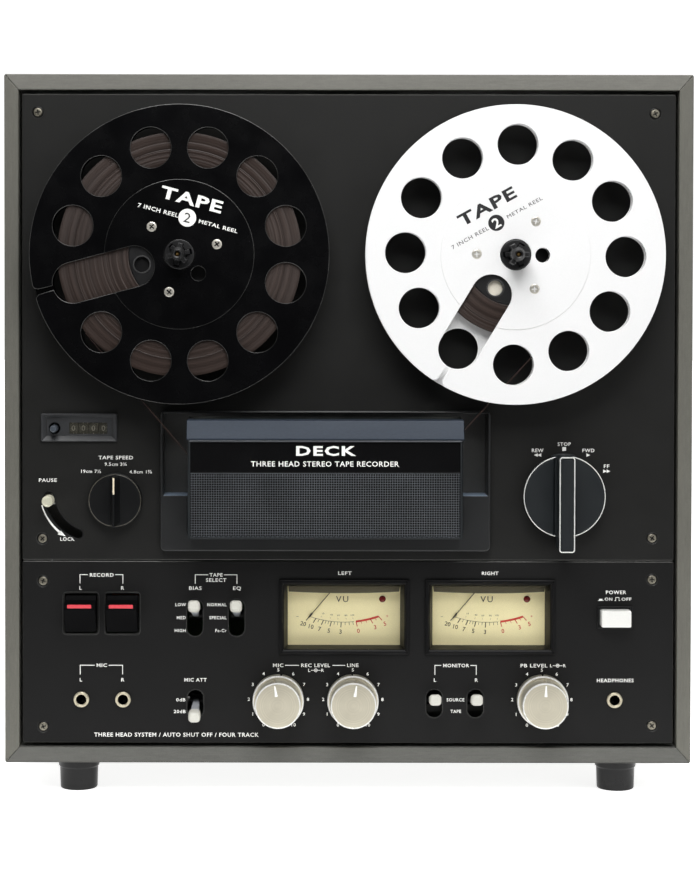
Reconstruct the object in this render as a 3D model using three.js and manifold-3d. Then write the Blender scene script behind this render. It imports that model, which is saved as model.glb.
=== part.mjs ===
// Reel to reel tape deck: a vinyl-covered wooden cabinet on four feet, an upper deck panel with the reels,
// the heads and the transport controls, and a lower control panel with the meters, levers and level knobs.
//
// Frame, in millimetres: X across (right as seen from the front), Z up, the front faces -Y.
// The outlines are drawn in the panel plane as (X, Z). Depths are Y values measured from the front face
// of the panels, negative towards the user, until the last line moves the whole deck onto its origin,
// which is the middle of its bounding box at floor level.
import * as THREE from "three";
import { mergeVertices } from "three/addons/utils/BufferGeometryUtils.js";
import Module from "manifold-3d";

const wasm = await Module();
wasm.setup();

// ---- Driving dimensions ------------------------------------------------------------------------------

const FOOT_HEIGHT = 19;
const CABINET = { width: 414, height: 415, lip: 2, back: 166, board: 9.4, side: 8.5 };
const PANEL = { halfWidth: 196.7, bottom: 30.6, seam: 141.2, top: 422.4, thickness: 2 };
const GAP = 0.3; // clearance between pieces that touch
const SEAM_GAP = 0.2; // each panel stops this far from the seam line

const FOOT = { x: 164.4, front: 18, rear: 140, top: 12.5, sole: 11.5, edge: 2, screw: 3, screwDepth: 9 };

const REEL = {
  radius: 89,
  holes: 12,
  holeRadius: 12.1,
  holeCircle: 65.3,
  slotInner: 27.7,
  slit: 1.8,
  hub: 30,
  threadHole: { radius: 5, circle: 23 },
  boss: 8.9,
  bossFront: -21.8,
  bore: 4.6,
  spline: { width: 3.4, reach: 7.5 },
  rearFlange: [-12.6, -11.4],
  tape: [-19.3, -13],
  frontFlange: [-21, -19.8],
  sides: 48,
  holeSides: 12,
};
const SUPPLY = { x: -100.7, z: 325.6, slotAngle: 195, pack: 72.5 };
const TAKE_UP = { x: 98.6, z: 325.6, slotAngle: 239, pack: 48 };
const SPINDLE = { radius: 4.1, front: -24, tip: -41, ribWidth: 2.8, ribReach: 6.5 };

const TAPE_LINE = 184; // height of the tape along the heads
const TAPE_THICKNESS = 0.3;
const GUIDE = { radius: 4.8, left: -74.7, right: 32.6, wrap: 5.05 };
const HEADS = [-58, -32, -6];
const CAPSTAN = { x: 18, z: 187.4, radius: 3, flywheel: 40 };
const PINCH = { pivotX: 48, pivotZ: 168, rollerX: 18, rollerZ: 170, radius: 8 };

const HOUSING = { x0: -112.9, x1: 85.3, z0: 147.5, z1: 232, ledge: 181, front: -5.5, back: 18 };
const HOUSING_WALL = { block: 2.3, recess: 1.4, floor: 1.5 };
const COVER = { x0: -96, x1: 68, z0: 157.3, z1: 226.4, brow: 216, front: -28, browBack: -24, wall: 2 };

const FUNCTION_KNOB = { x: 129.5, z: 181, radius: 24.5, bar: 9.6, above: 24.3, below: 32.2 };
const SPEED_KNOB = { x: -140.3, z: 178, radius: 16.3 };
const PAUSE = { x: -152.5, z: 183.3, reach: 28.2, slotWidth: 5.8, from: 187, to: 248, rest: 191 };
const COUNTER = { x0: -185.2, x1: -139.4, z0: 213.1, z1: 230, buttonX: -177.2, wheelZ: 221 };
const COUNTER_WHEELS = ["thousands", "hundreds", "tens", "units"];
const COUNTER_FIRST = -166.1;
const COUNTER_PITCH = 6.03;

const KEY = { width: 18.8, window: [19.8, 23.8], z: 109.1, left: -161.3, right: -136.3 };
const LEVERS = [
  { name: "bias_lever", x: -92.5, z: 106.5, slot: 22.3, tilt: 18.5 },
  { name: "eq_lever", x: -67.3, z: 106.5, slot: 22.3, tilt: 18.5 },
  { name: "mic_attenuator_lever", x: -92.2, z: 54.4, slot: 17, tilt: -11.5 },
  { name: "monitor_lever_left", x: 52.2, z: 54.8, slot: 17, tilt: 9 },
  { name: "monitor_lever_right", x: 77.1, z: 54.8, slot: 17, tilt: 9 },
];
const LEVER = { pivotY: 15, slotWidth: 9.8, length: 30, stem: 4, tipWidth: 7.2, tipHeight: 6.4 };
const LEVEL_KNOBS = [
  { name: "mic_level", x: -42, capAngle: 9, ringAngle: -6.6 },
  { name: "line_level", x: 3, capAngle: -8.5, ringAngle: 1.6 },
  { name: "playback_level", x: 117.3, capAngle: -1, ringAngle: -1.2 },
];
const LEVEL = { z: 57.2, ring: 15.4, cap: 13.7, ringFront: -8, capFront: -22, sides: 24 };
const JACKS = [
  { name: "mic_jack_left", x: -161.1 },
  { name: "mic_jack_right", x: -135.9 },
  { name: "headphone_jack", x: 161.2 },
];
const JACK = { z: 57, bore: 3.1, nut: 4.75, barrel: 4.2, body: 6.8, depth: 30 };
const POWER = { x: 161.2, z: 107.1, width: 17.9, height: 10, front: -8 };
const METERS = [
  { side: "left", x: -2.3 },
  { side: "right", x: 85.8 },
];
const METER = {
  z: 107.2,
  bezel: [78.5, 45.5],
  opening: [72.5, 39.2],
  neck: [74.5, 41.5],
  body: [82, 84.5, 137.5],
  dial: 12.5,
  pivotZ: 130.4,
  needle: 33,
  restAngle: 40.5,
};

const CHASSIS = { y: 30, thickness: 2.5, halfWidth: 188, z0: 148, z1: 416 };
const BACK = { y: 158, thickness: 3 };
const BOARD = { y: 138, thickness: 2 };
const SOCKETS = { x0: -20, x1: 84, z: 80, rows: 2, columns: 4, pitchX: 26, pitchZ: 22, radius: 4.2 };
const INLET = { x: -135, z: 74, width: 30, height: 22 };

// ---- Finishes ----------------------------------------------------------------------------------------

const FINISHES = {
  vinyl: { color: 0x6a6963, roughness: 0.6, metalness: 0 },
  panel: { color: 0x1d1d1f, roughness: 0.65, metalness: 0.1 },
  black: { color: 0x0c0c0d, roughness: 0.45, metalness: 0 },
  rubber: { color: 0x101010, roughness: 0.85, metalness: 0 },
  steel: { color: 0xa8a9a6, roughness: 0.4, metalness: 0.9 },
  white: { color: 0xe4e4e0, roughness: 0.4, metalness: 0.1 },
  silver: { color: 0xc8c3b2, roughness: 0.35, metalness: 0.9 },
  tape: { color: 0x4e3f3a, roughness: 0.5, metalness: 0 },
  cover: { color: 0x4d545c, roughness: 0.4, metalness: 0.2 },
  board: { color: 0x3c5a34, roughness: 0.6, metalness: 0 },
};

// ---- Outlines in the panel plane ---------------------------------------------------------------------

const radians = THREE.MathUtils.degToRad;
const point = (x, z) => new THREE.Vector2(x, z);

// Points along an arc, angles in degrees counted anticlockwise from +X.
function arc(x, z, radius, from, to, steps) {
  return Array.from({ length: steps + 1 }, (_, i) => {
    const angle = radians(from + ((to - from) * i) / steps);
    return point(x + radius * Math.cos(angle), z + radius * Math.sin(angle));
  });
}

function circle(x, z, radius, sides = 16) {
  return arc(x, z, radius, 0, 360 - 360 / sides, sides - 1);
}

function rectangle(x0, x1, z0, z1) {
  return [point(x0, z0), point(x1, z0), point(x1, z1), point(x0, z1)];
}

function centred(x, z, width, height) {
  return rectangle(x - width / 2, x + width / 2, z - height / 2, z + height / 2);
}

function rounded(x0, x1, z0, z1, radius, steps = 3) {
  return [
    ...arc(x1 - radius, z0 + radius, radius, -90, 0, steps),
    ...arc(x1 - radius, z1 - radius, radius, 0, 90, steps),
    ...arc(x0 + radius, z1 - radius, radius, 90, 180, steps),
    ...arc(x0 + radius, z0 + radius, radius, 180, 270, steps),
  ];
}

// A ring with straight-sided arms every 120 degrees, as on a splined spindle.
function splined(radius, reach, width) {
  const root = THREE.MathUtils.radToDeg(Math.asin(width / 2 / radius));
  const outline = [];
  for (const arm of [0, 120, 240]) {
    const along = radians(arm);
    for (const side of [-1, 1]) {
      const across = (side * width) / 2;
      outline.push(
        point(
          reach * Math.cos(along) - across * Math.sin(along),
          reach * Math.sin(along) + across * Math.cos(along),
        ),
      );
    }
    outline.push(...arc(0, 0, radius, arm + root, arm + 120 - root, 4));
  }
  return outline;
}

// ---- Solids ------------------------------------------------------------------------------------------

// A flat outline given depth, from its front face to its back face, with holes right through it.
function slab(outline, front, back, holes = []) {
  const shape = new THREE.Shape(outline);
  const geometry = new THREE.ExtrudeGeometry(shape, { depth: back - front, bevelEnabled: false });
  geometry.rotateX(Math.PI / 2).translate(0, back, 0);
  return holes.length ? cut(geometry, ...holes.map((hole) => slab(hole, front - 1, back + 1))) : geometry;
}

function box(x0, x1, y0, y1, z0, z1) {
  return slab(rectangle(x0, x1, z0, z1), y0, y1);
}

// A body turned about an axis along Y. The profile is a list of [radius, Y] pairs that starts and ends on
// the axis, or closes on itself.
function turned(profile, x = 0, z = 0, sides = 18) {
  const points = profile.map(([radius, y]) => point(radius, y));
  const area = THREE.ShapeUtils.area(points);
  if (area < 0) points.reverse();
  return new THREE.LatheGeometry(points, sides).translate(x, 0, z);
}

// A plain rod along Y.
const rod = (x, z, radius, front, back, sides = 16) =>
  turned([[0, front], [radius, front], [radius, back], [0, back]], x, z, sides);

// A profile in the (Y, Z) plane given a width along X.
function prism(profile, x0, x1) {
  const shape = new THREE.Shape(profile.map(([y, z]) => point(y, z)));
  const geometry = new THREE.ExtrudeGeometry(shape, { depth: x1 - x0, bevelEnabled: false });
  return geometry.rotateX(Math.PI / 2).rotateZ(Math.PI / 2).translate(x0, 0, 0);
}

function solidOf(geometry) {
  const bare = geometry.index ? geometry.toNonIndexed() : geometry.clone();
  bare.deleteAttribute("normal");
  bare.deleteAttribute("uv");
  const merged = mergeVertices(bare, 1e-4);
  return new wasm.Manifold(
    new wasm.Mesh({
      numProp: 3,
      vertProperties: merged.attributes.position.array,
      triVerts: new Uint32Array(merged.index.array),
    }),
  );
}

function geometryOf(solid) {
  const mesh = solid.getMesh();
  return new THREE.BufferGeometry()
    .setAttribute("position", new THREE.BufferAttribute(mesh.vertProperties, 3))
    .setIndex(new THREE.BufferAttribute(mesh.triVerts, 1));
}

const join = (...geometries) => geometryOf(geometries.map(solidOf).reduce((sum, next) => sum.add(next)));
const cut = (body, ...tools) =>
  geometryOf(tools.map(solidOf).reduce((rest, tool) => rest.subtract(tool), solidOf(body)));

// ---- Assembly ----------------------------------------------------------------------------------------

const deck = new THREE.Group();

function add(name, geometry, finish, parent = deck) {
  const shown = geometry.toNonIndexed ? geometry : geometry.clone();
  if (!shown.getAttribute("normal")) shown.computeVertexNormals();
  const mesh = new THREE.Mesh(shown, new THREE.MeshStandardMaterial(FINISHES[finish]));
  mesh.name = name;
  parent.add(mesh);
  return mesh;
}

// A group standing on the panel at (x, z), turned anticlockwise as seen from the front.
function station(x, z, degrees = 0, parent = deck) {
  const group = new THREE.Group();
  group.position.set(x, 0, z);
  group.rotation.y = -radians(degrees);
  parent.add(group);
  return group;
}

// ---- Cabinet, back and feet --------------------------------------------------------------------------

function addCabinet() {
  const half = CABINET.width / 2;
  const top = FOOT_HEIGHT + CABINET.height;
  const inner = half - CABINET.side;
  const floor = FOOT_HEIGHT + CABINET.board;
  const ceiling = top - CABINET.board;
  const opening = rectangle(-inner, inner, floor, ceiling);
  const outer = rectangle(-half, half, FOOT_HEIGHT, top);
  add("cabinet_shell", slab(outer, -CABINET.lip, CABINET.back, [opening]), "vinyl");

  const vents = [];
  for (const x of [-95, 95])
    for (let z = 210; z <= 370; z += 16) vents.push(centred(x, z, 110, 5));
  const sockets = rectangle(SOCKETS.x0 - 5, SOCKETS.x1 + 1, SOCKETS.z - 25, SOCKETS.z + 25);
  const inlet = centred(INLET.x, INLET.z, INLET.width + 2, INLET.height + 2);
  const outline = rectangle(1 - inner, inner - 1, floor + 1, ceiling - 1);
  const holes = [...vents, sockets, inlet];
  add("back_cover", slab(outline, BACK.y, BACK.y + BACK.thickness, holes), "black");
}

// A foot turned about its upright axis, with a screw recess in its sole.
function addFoot(name, x, y) {
  const profile = [
    [0, FOOT.screwDepth],
    [FOOT.screw, FOOT.screwDepth],
    [FOOT.screw, 0],
    [FOOT.sole - FOOT.edge, 0],
    [FOOT.sole - FOOT.edge * 0.3, FOOT.edge * 0.3],
    [FOOT.sole, FOOT.edge],
    [FOOT.top, FOOT_HEIGHT - GAP],
    [0, FOOT_HEIGHT - GAP],
  ];
  const foot = add(name, turned(profile, 0, 0, 16).rotateX(Math.PI / 2), "rubber");
  foot.position.set(x, y, 0);
}

// ---- Panels and chassis ------------------------------------------------------------------------------

// The arc-shaped slot that the pause button travels in.
function pauseSlot() {
  const half = PAUSE.slotWidth / 2;
  const end = (angle, turn) => {
    const centre = arc(PAUSE.x, PAUSE.z, PAUSE.reach, angle, angle, 1)[0];
    return arc(centre.x, centre.y, half, angle + turn, angle + turn + 180, 4).slice(1, -1);
  };
  return [
    ...arc(PAUSE.x, PAUSE.z, PAUSE.reach + half, PAUSE.from, PAUSE.to, 8),
    ...end(PAUSE.to, 0),
    ...arc(PAUSE.x, PAUSE.z, PAUSE.reach - half, PAUSE.to, PAUSE.from, 8),
    ...end(PAUSE.from, 180),
  ];
}

const stadium = (x, z, width, height) =>
  rounded(x - width / 2, x + width / 2, z - height / 2, z + height / 2, width / 2 - 0.01, 4);

function addPanels() {
  const holes = [
    rectangle(HOUSING.x0 + 2, HOUSING.x1 - 2, HOUSING.z0 + 2, HOUSING.z1 - 2),
    circle(SUPPLY.x, SUPPLY.z, 10, 16),
    circle(TAKE_UP.x, TAKE_UP.z, 10, 16),
    circle(FUNCTION_KNOB.x, FUNCTION_KNOB.z, 5, 12),
    circle(SPEED_KNOB.x, SPEED_KNOB.z, 4.2, 12),
    rectangle(COUNTER.x0 + 3.2, COUNTER.x1 - 3.2, COUNTER.z0 + 2, COUNTER.z1 - 1.7),
    pauseSlot(),
  ];
  const { halfWidth, bottom, seam, top, thickness } = PANEL;
  const upper = rounded(-halfWidth, halfWidth, seam + SEAM_GAP, top, 1.2, 2);
  add("deck_panel", slab(upper, 0, thickness, holes), "panel");

  const windows = [
    ...[KEY.left, KEY.right].map((x) => centred(x, KEY.z, ...KEY.window)),
    ...LEVERS.map(({ x, z, slot }) => stadium(x, z, LEVER.slotWidth, slot)),
    ...LEVEL_KNOBS.map(({ x }) => circle(x, LEVEL.z, 5.8, 14)),
    ...JACKS.map(({ x }) => circle(x, JACK.z, JACK.barrel + GAP, 14)),
    ...METERS.map(({ x }) => centred(x, METER.z, METER.neck[0] + 0.8, METER.neck[1] + 0.8)),
    centred(POWER.x, POWER.z, POWER.width + 0.6, POWER.height + 1),
  ];
  const lower = rounded(-halfWidth, halfWidth, bottom, seam - SEAM_GAP, 1.2, 2);
  add("control_panel", slab(lower, 0, thickness, windows), "panel");
}

// A folded steel plate behind the deck panel, with a flange bent back along each side.
function addChassis() {
  const { y, thickness, halfWidth, z0, z1 } = CHASSIS;
  const holes = [
    circle(SUPPLY.x, SUPPLY.z, 6.6, 14),
    circle(TAKE_UP.x, TAKE_UP.z, 6.6, 14),
    circle(CAPSTAN.x, CAPSTAN.z, CAPSTAN.radius + 1, 12),
  ];
  const plate = slab(rectangle(-halfWidth, halfWidth, z0, z1), y, y + thickness, holes);
  const flanges = [-1, 1].map((side) => {
    const edges = [side * halfWidth, side * (halfWidth - thickness)].sort((a, b) => a - b);
    return box(...edges, y + 1, y + 40, z0, z1);
  });
  add("chassis_plate", join(plate, ...flanges), "steel");
}

// ---- Reels -------------------------------------------------------------------------------------------

const onCircle = (radius, degrees) => arc(0, 0, radius, degrees, degrees, 1)[0];

function flangeHole(index) {
  const centre = onCircle(REEL.holeCircle, (index * 360) / REEL.holes);
  return circle(centre.x, centre.y, REEL.holeRadius, REEL.holeSides);
}

// The front flange: its first hole runs inwards as a threading slot and outwards as a slit to the rim.
function slottedOutline() {
  const { radius, holeCircle, holeRadius, slotInner, slit } = REEL;
  const rim = THREE.MathUtils.radToDeg(Math.asin(slit / radius));
  const mouth = THREE.MathUtils.radToDeg(Math.asin(slit / holeRadius));
  return [
    ...arc(0, 0, radius, rim, 360 - rim, REEL.sides),
    ...arc(holeCircle, 0, holeRadius, -mouth, -90, 4),
    ...arc(slotInner, 0, holeRadius, -90, -270, 8),
    ...arc(holeCircle, 0, holeRadius, -270, mouth - 360, 4),
  ];
}

function addReel(side, { x, z, slotAngle, pack }, finish) {
  const reel = station(x, z, slotAngle);
  const centreHole = circle(0, 0, REEL.boss + GAP, 18);
  const holes = Array.from({ length: REEL.holes }, (_, i) => flangeHole(i));

  const table = turned([
    [0, SPINDLE.front],
    [SPINDLE.radius, SPINDLE.front],
    [SPINDLE.radius, -11.1],
    [27, -11.1],
    [28, -10],
    [28, -7],
    [8.5, -6],
    [8.5, 8],
    [22, 8],
    [22, 16],
    [6, 17],
    [6, 42],
    [0, 42],
  ]);
  const ribs = slab(splined(SPINDLE.radius - 0.2, SPINDLE.ribReach, SPINDLE.ribWidth), SPINDLE.front, -10.5);
  add(`${side}_reel_table`, join(table, ribs.rotateY(Math.PI / 3)), "black", reel);

  const rear = slab(circle(0, 0, REEL.radius, REEL.sides), ...REEL.rearFlange, [centreHole, ...holes]);
  add(`${side}_reel_rear_flange`, rear, finish, reel);
  const front = slab(slottedOutline(), ...REEL.frontFlange, [centreHole, ...holes.slice(1)]);
  add(`${side}_reel_front_flange`, front, finish, reel);

  const threadHole = circle(REEL.threadHole.circle, 0, REEL.threadHole.radius, 12);
  const core = slab(circle(0, 0, REEL.hub, 36), REEL.tape[0] - 0.2, REEL.tape[1] + 0.1, [threadHole]);
  const boss = rod(0, 0, REEL.boss, REEL.bossFront, REEL.tape[1], 24);
  const bore = slab(splined(REEL.bore, REEL.spline.reach, REEL.spline.width), -30, -5);
  add(`${side}_reel_hub`, cut(join(core, boss), bore.rotateY(Math.PI / 3)), "black", reel);

  const inner = REEL.hub + GAP;
  const winding = [
    [inner, REEL.tape[0]],
    [pack, REEL.tape[0]],
    [pack, REEL.tape[1]],
    [inner, REEL.tape[1]],
    [inner, REEL.tape[0]],
  ];
  add(`${side}_tape_pack`, turned(winding, 0, 0, 36), "tape", reel);

  const lock = slab(splined(SPINDLE.radius, SPINDLE.ribReach, SPINDLE.ribWidth), -37.5, SPINDLE.front - GAP);
  const { radius, tip } = SPINDLE;
  const nose = turned([[0, tip], [2.6, tip], [radius, tip + 2.5], [radius, -30], [0, -30]]);
  add(`${side}_spindle_lock`, join(lock, nose), "black", reel);
}

// ---- Tape path ---------------------------------------------------------------------------------------

// Direction, in degrees, from either centre to the straight line that touches both circles on one side.
function tangentAngle(a, radiusA, b, radiusB, side) {
  const across = Math.hypot(b.x - a.x, b.z - a.z);
  const bearing = Math.atan2(b.z - a.z, b.x - a.x);
  const lean = Math.acos((radiusA - radiusB) / across);
  return THREE.MathUtils.radToDeg(bearing + side * lean);
}

function addTapeRun() {
  const guideZ = TAPE_LINE + GUIDE.wrap + TAPE_THICKNESS / 2;
  const left = { x: GUIDE.left, z: guideZ };
  const right = { x: GUIDE.right, z: guideZ };
  const clear = 0.2;
  const leaving = tangentAngle(SUPPLY, SUPPLY.pack + clear, left, GUIDE.wrap, -1);
  const arriving = tangentAngle(TAKE_UP, TAKE_UP.pack + clear, right, GUIDE.wrap, 1);
  const side = (extra) => [
    ...arc(SUPPLY.x, SUPPLY.z, SUPPLY.pack + clear + extra, leaving, leaving, 1).slice(0, 1),
    ...arc(left.x, left.z, GUIDE.wrap + extra, leaving, -90, 4),
    ...arc(right.x, right.z, GUIDE.wrap + extra, -90, arriving, 4),
    ...arc(TAKE_UP.x, TAKE_UP.z, TAKE_UP.pack + clear + extra, arriving, arriving, 1).slice(0, 1),
  ];
  const outline = [...side(TAPE_THICKNESS), ...side(0).reverse()];
  add("tape_run", slab(outline, ...REEL.tape), "tape");
}

// ---- Heads, capstan and pinch roller -----------------------------------------------------------------

function addHeadBlock() {
  const guideZ = TAPE_LINE + GUIDE.wrap + TAPE_THICKNESS / 2;
  const shaftHole = circle(CAPSTAN.x, CAPSTAN.z, CAPSTAN.radius + 1, 12);
  const plate = slab(rectangle(-90, 60, 160, 218), 5, 8, [shaftHole]);
  const heads = HEADS.map((x) => slab(rounded(x - 8, x + 8, TAPE_LINE + 0.6, TAPE_LINE + 21, 3), -21, 5.5));
  const guides = [GUIDE.left, GUIDE.right].map((x) => rod(x, guideZ, GUIDE.radius, -22, 5.5, 16));
  const posts = [-84, 52].flatMap((x) => [166, 212].map((z) => rod(x, z, 3, 7.5, CHASSIS.y - GAP, 10)));
  add("head_block", join(plate, ...heads, ...guides, ...posts), "steel");
}

function addCapstan() {
  const { x, z, radius, flywheel } = CAPSTAN;
  const shaft = turned(
    [
      [0, -22],
      [radius, -22],
      [radius, 36],
      [flywheel, 37],
      [flywheel, 49],
      [6, 50],
      [0, 50],
    ],
    x,
    z,
    28,
  );
  add("capstan_flywheel", shaft, "steel");
  const canProfile = [[0, 52], [flywheel + 10, 52], [flywheel + 10, 55], [35, 55], [34, 96], [0, 98]];
  const can = turned(canProfile, x, z, 28);
  const posts = [90, 210, 330].map((angle) => {
    const foot = arc(x, z, flywheel + 6, angle, angle, 1)[0];
    return rod(foot.x, foot.y, 3, CHASSIS.y + CHASSIS.thickness + GAP, 53, 10);
  });
  add("capstan_motor", join(can, ...posts), "steel");
}

function addPinchRoller() {
  const { pivotX, pivotZ, rollerX, rollerZ, radius } = PINCH;
  const end = 4.5;
  const square = tangentAngle({ x: pivotX, z: pivotZ }, end, { x: rollerX, z: rollerZ }, end, 1);
  const outline = [
    ...arc(pivotX, pivotZ, end, square, square + 180, 6),
    ...arc(rollerX, rollerZ, end, square + 180, square + 360, 6),
  ];
  const lever = slab(outline, -9.5, -6.5);
  const pivot = rod(pivotX, pivotZ, 3, -7, 5 - GAP, 14);
  const axle = rod(rollerX, rollerZ, 2, -22.5, -7, 12);
  add("pinch_arm", join(lever, pivot, axle), "steel");
  const bore = 2.3;
  const tyreOutline = [[bore, -21], [radius, -21], [radius, -11], [bore, -11], [bore, -21]];
  const tyre = turned(tyreOutline, rollerX, rollerZ);
  add("pinch_roller", tyre, "rubber");
}

// The black surround: a rim on the panel, solid below the ledge and sunk deep above it, with a pocket right
// through it for the cover.
function addHeadHousing() {
  const { x0, x1, z0, z1, ledge, front, back } = HOUSING;
  const { block, recess, floor } = HOUSING_WALL;
  const rim = slab(rounded(x0, x1, z0, z1, 3), front, -GAP);
  const body = box(x0 + block, x1 - block, front + 1, back, z0 + block, z1 - block);
  const sunk = box(x0 + recess, x1 - recess, -40, back - floor, ledge, z1 - recess);
  const pocket = box(COVER.x0 - 0.7, COVER.x1 + 0.7, -40, 40, COVER.z0 - 0.7, COVER.z1 + 1);
  add("head_housing", cut(join(rim, body), sunk, pocket), "black");
}

// The cover over the heads: a hollow shell, open behind, with a brow that leans back a little and a notch
// at each side for the tape.
function addHeadCover() {
  const { x0, x1, z0, z1, brow, front, browBack, wall } = COVER;
  const rear = -1;
  const outer = [
    [front, z0],
    [rear, z0],
    [rear, z1],
    [browBack, z1],
    [front, brow],
  ];
  const cavity = [
    [front + wall, z0 + wall],
    [5, z0 + wall],
    [5, z1 - wall],
    [browBack + 1, z1 - wall],
    [front + wall, brow - 0.8],
  ];
  const notchFloor = TAPE_LINE - 2;
  const leftNotch = box(x0 - 1, x0 + wall + 0.5, -21.5, 5, notchFloor, z1 - wall);
  const rightNotch = box(x1 - wall - 0.5, x1 + 1, -21.5, 5, notchFloor, z1 + 1);
  const shell = cut(prism(outer, x0, x1), prism(cavity, x0 + wall, x1 - wall), leftNotch, rightNotch);
  add("head_cover", shell, "cover");
}

// ---- Transport controls ------------------------------------------------------------------------------

function addFunctionKnob() {
  const knob = station(FUNCTION_KNOB.x, FUNCTION_KNOB.z);
  const { radius, bar, above, below } = FUNCTION_KNOB;
  const disc = turned([[0, -10], [radius - 2, -10], [radius, -8], [radius, -1.5], [0, -1.5]], 0, 0, 32);
  const grip = slab(rounded(-bar / 2, bar / 2, -below, above, 1.5, 2), -24, -2.5);
  const shaft = rod(0, 0, 4, -3, 16, 14);
  add("function_knob", join(disc, grip, shaft), "black", knob);
}

function addSpeedKnob() {
  const knob = station(SPEED_KNOB.x, SPEED_KNOB.z);
  const { radius } = SPEED_KNOB;
  const disc = turned([[0, -6], [radius - 1.5, -6], [radius, -4.5], [radius, -1], [0, -1]], 0, 0, 30);
  const fin = slab(rounded(-3, 3, 1 - radius, radius - 1, 2.5, 3), -15, -5);
  add("speed_knob", join(disc, fin, rod(0, 0, 3, -2, 15, 12)), "black", knob);
}

// The pause button rides on an arm behind the panel and reaches through the slot.
function addPauseLever() {
  const group = station(PAUSE.x, PAUSE.z, PAUSE.rest);
  const arm = slab(rounded(-5, PAUSE.reach + 3.5, -3.5, 3.5, 3.4, 3), 4, 6);
  const pivot = rod(0, 0, 2.2, 5, CHASSIS.y - 1, 12);
  const post = rod(PAUSE.reach, 0, 2, -4, 5, 12);
  const button = turned([[0, -12], [2.6, -12], [3.4, -11], [3.4, -3], [0, -3]], PAUSE.reach, 0, 16);
  add("pause_lever", join(arm, pivot, post, button), "silver", group);
}

function addCounter() {
  const { x0, x1, z0, z1, buttonX, wheelZ } = COUNTER;
  const wheels = COUNTER_WHEELS.map((name, i) => ({ name, x: COUNTER_FIRST + i * COUNTER_PITCH }));
  const axisY = 10;
  const wheelRadius = 7.2;
  const bezel = box(x0, x1, -1.8, -GAP, z0, z1);
  const neck = box(x0 + 3.5, x1 - 3.5, -1, 2.4, z0 + 2.3, z1 - 2);
  const body = box(x0 + 2, x1 - 2, PANEL.thickness + GAP, 22, z0 - 1.6, z1 + 1);
  const window = box(-168.3, -145.6, -5, 5, 217.6, 224.4);
  const cavity = box(-170.3, -144.2, 1.5, 30, wheelZ - 8, wheelZ + 8);
  const buttonBore = rod(buttonX, wheelZ, 3.1, -5, 30, 14);
  const axle = rod(0, 0, 1, -172, -143, 8).rotateZ(-Math.PI / 2).translate(0, axisY, wheelZ);
  add("counter_housing", join(cut(join(bezel, neck, body), window, cavity, buttonBore), axle), "black");

  const half = 2.6;
  const wheel = [[1.4, -half], [wheelRadius, -half], [wheelRadius, half], [1.4, half], [1.4, -half]];
  for (const { name, x } of wheels) {
    const drum = add(`counter_wheel_${name}`, turned(wheel).rotateZ(-Math.PI / 2), "black");
    drum.position.set(x, axisY, wheelZ);
  }
  const button = turned([[0, -7], [1.8, -7], [2.1, -6.6], [2.1, 18], [0, 18]], buttonX, wheelZ, 16);
  add("counter_reset_button", button, "black");
}

// ---- Recording controls, levers and knobs ------------------------------------------------------------

// A wedge-shaped rocker key whose ledge is pressed by a fingertip. It is hinged at its foot.
function addRecordKey(name, x) {
  const profile = [
    [-1, 98],
    [5, 98],
    [5, 119.6],
    [-1.2, 120.2],
    [-2.5, 117.5],
    [-10, 115.6],
    [-10.4, 112.5],
    [-3, 101],
  ];
  add(name, prism(profile, x - KEY.width / 2, x + KEY.width / 2), "black");
}

// A bat-handled lever switch. It pivots behind the panel and tilts up or down.
function addLever({ name, x, z, tilt }) {
  const { pivotY, length, stem, tipWidth, tipHeight } = LEVER;
  const barrel = rod(0, 0, 3.5, -4, 4, 14).rotateZ(-Math.PI / 2);
  const arm = box(-stem / 2, stem / 2, 6 - length, 1, -stem / 2, stem / 2);
  const chamfer = 1.9;
  const w = tipWidth / 2;
  const h = tipHeight / 2;
  const octagon = [
    point(w, chamfer - h),
    point(w, h - chamfer),
    point(w - chamfer, h),
    point(chamfer - w, h),
    point(-w, h - chamfer),
    point(-w, chamfer - h),
    point(chamfer - w, -h),
    point(w - chamfer, -h),
  ];
  const lever = add(name, join(barrel, arm, slab(octagon, -length, 8 - length)), "white");
  lever.position.set(x, pivotY, z);
  lever.rotation.x = -radians(tilt);
}

// Two knobs on one axis: the outer ring turns one channel, the inner cap the other.
function addLevelKnob({ name, x, capAngle, ringAngle }) {
  const { z, ring, cap, ringFront, capFront } = LEVEL;
  const ringGroup = station(x, z, ringAngle);
  const sleeve = 5.2;
  const bore = 3.6;
  const ringBody = turned(
    [
      [bore, ringFront],
      [ring - 1, ringFront],
      [ring, ringFront + 1],
      [ring, -0.8],
      [sleeve, -0.8],
      [sleeve, 12],
      [bore, 12],
      [bore, ringFront],
    ],
    0,
    0,
    LEVEL.sides,
  );
  const notch = box(-0.7, 0.7, ringFront - 1, ringFront + 0.8, ring - 1.6, ring + 1);
  add(`${name}_ring`, cut(ringBody, notch), "silver", ringGroup);

  const capGroup = station(x, z, capAngle);
  const back = ringFront - GAP;
  const capBody = turned(
    [[0, capFront], [cap - 1, capFront], [cap, capFront + 1], [cap, back], [3.2, back], [3.2, 18], [0, 18]],
    0,
    0,
    LEVEL.sides,
  );
  const tip = cap - 0.4;
  const taper = [point(-1, cap - 6), point(1, cap - 6), point(0.5, tip), point(-0.5, tip)];
  const pointer = slab(taper, -22.8, -21);
  add(`${name}_cap`, join(capBody, pointer), "silver", capGroup);
}

function addJack({ name, x }) {
  const { z, bore, nut, barrel, body, depth } = JACK;
  const profile = [
    [0, depth - 2],
    [bore, depth - 2],
    [bore, -1.8],
    [nut, -1.8],
    [nut, -GAP],
    [barrel, -GAP],
    [barrel, PANEL.thickness + GAP],
    [body, PANEL.thickness + GAP],
    [body, depth],
    [0, depth],
  ];
  add(name, turned(profile, x, z, 16), "steel");
}

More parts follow.
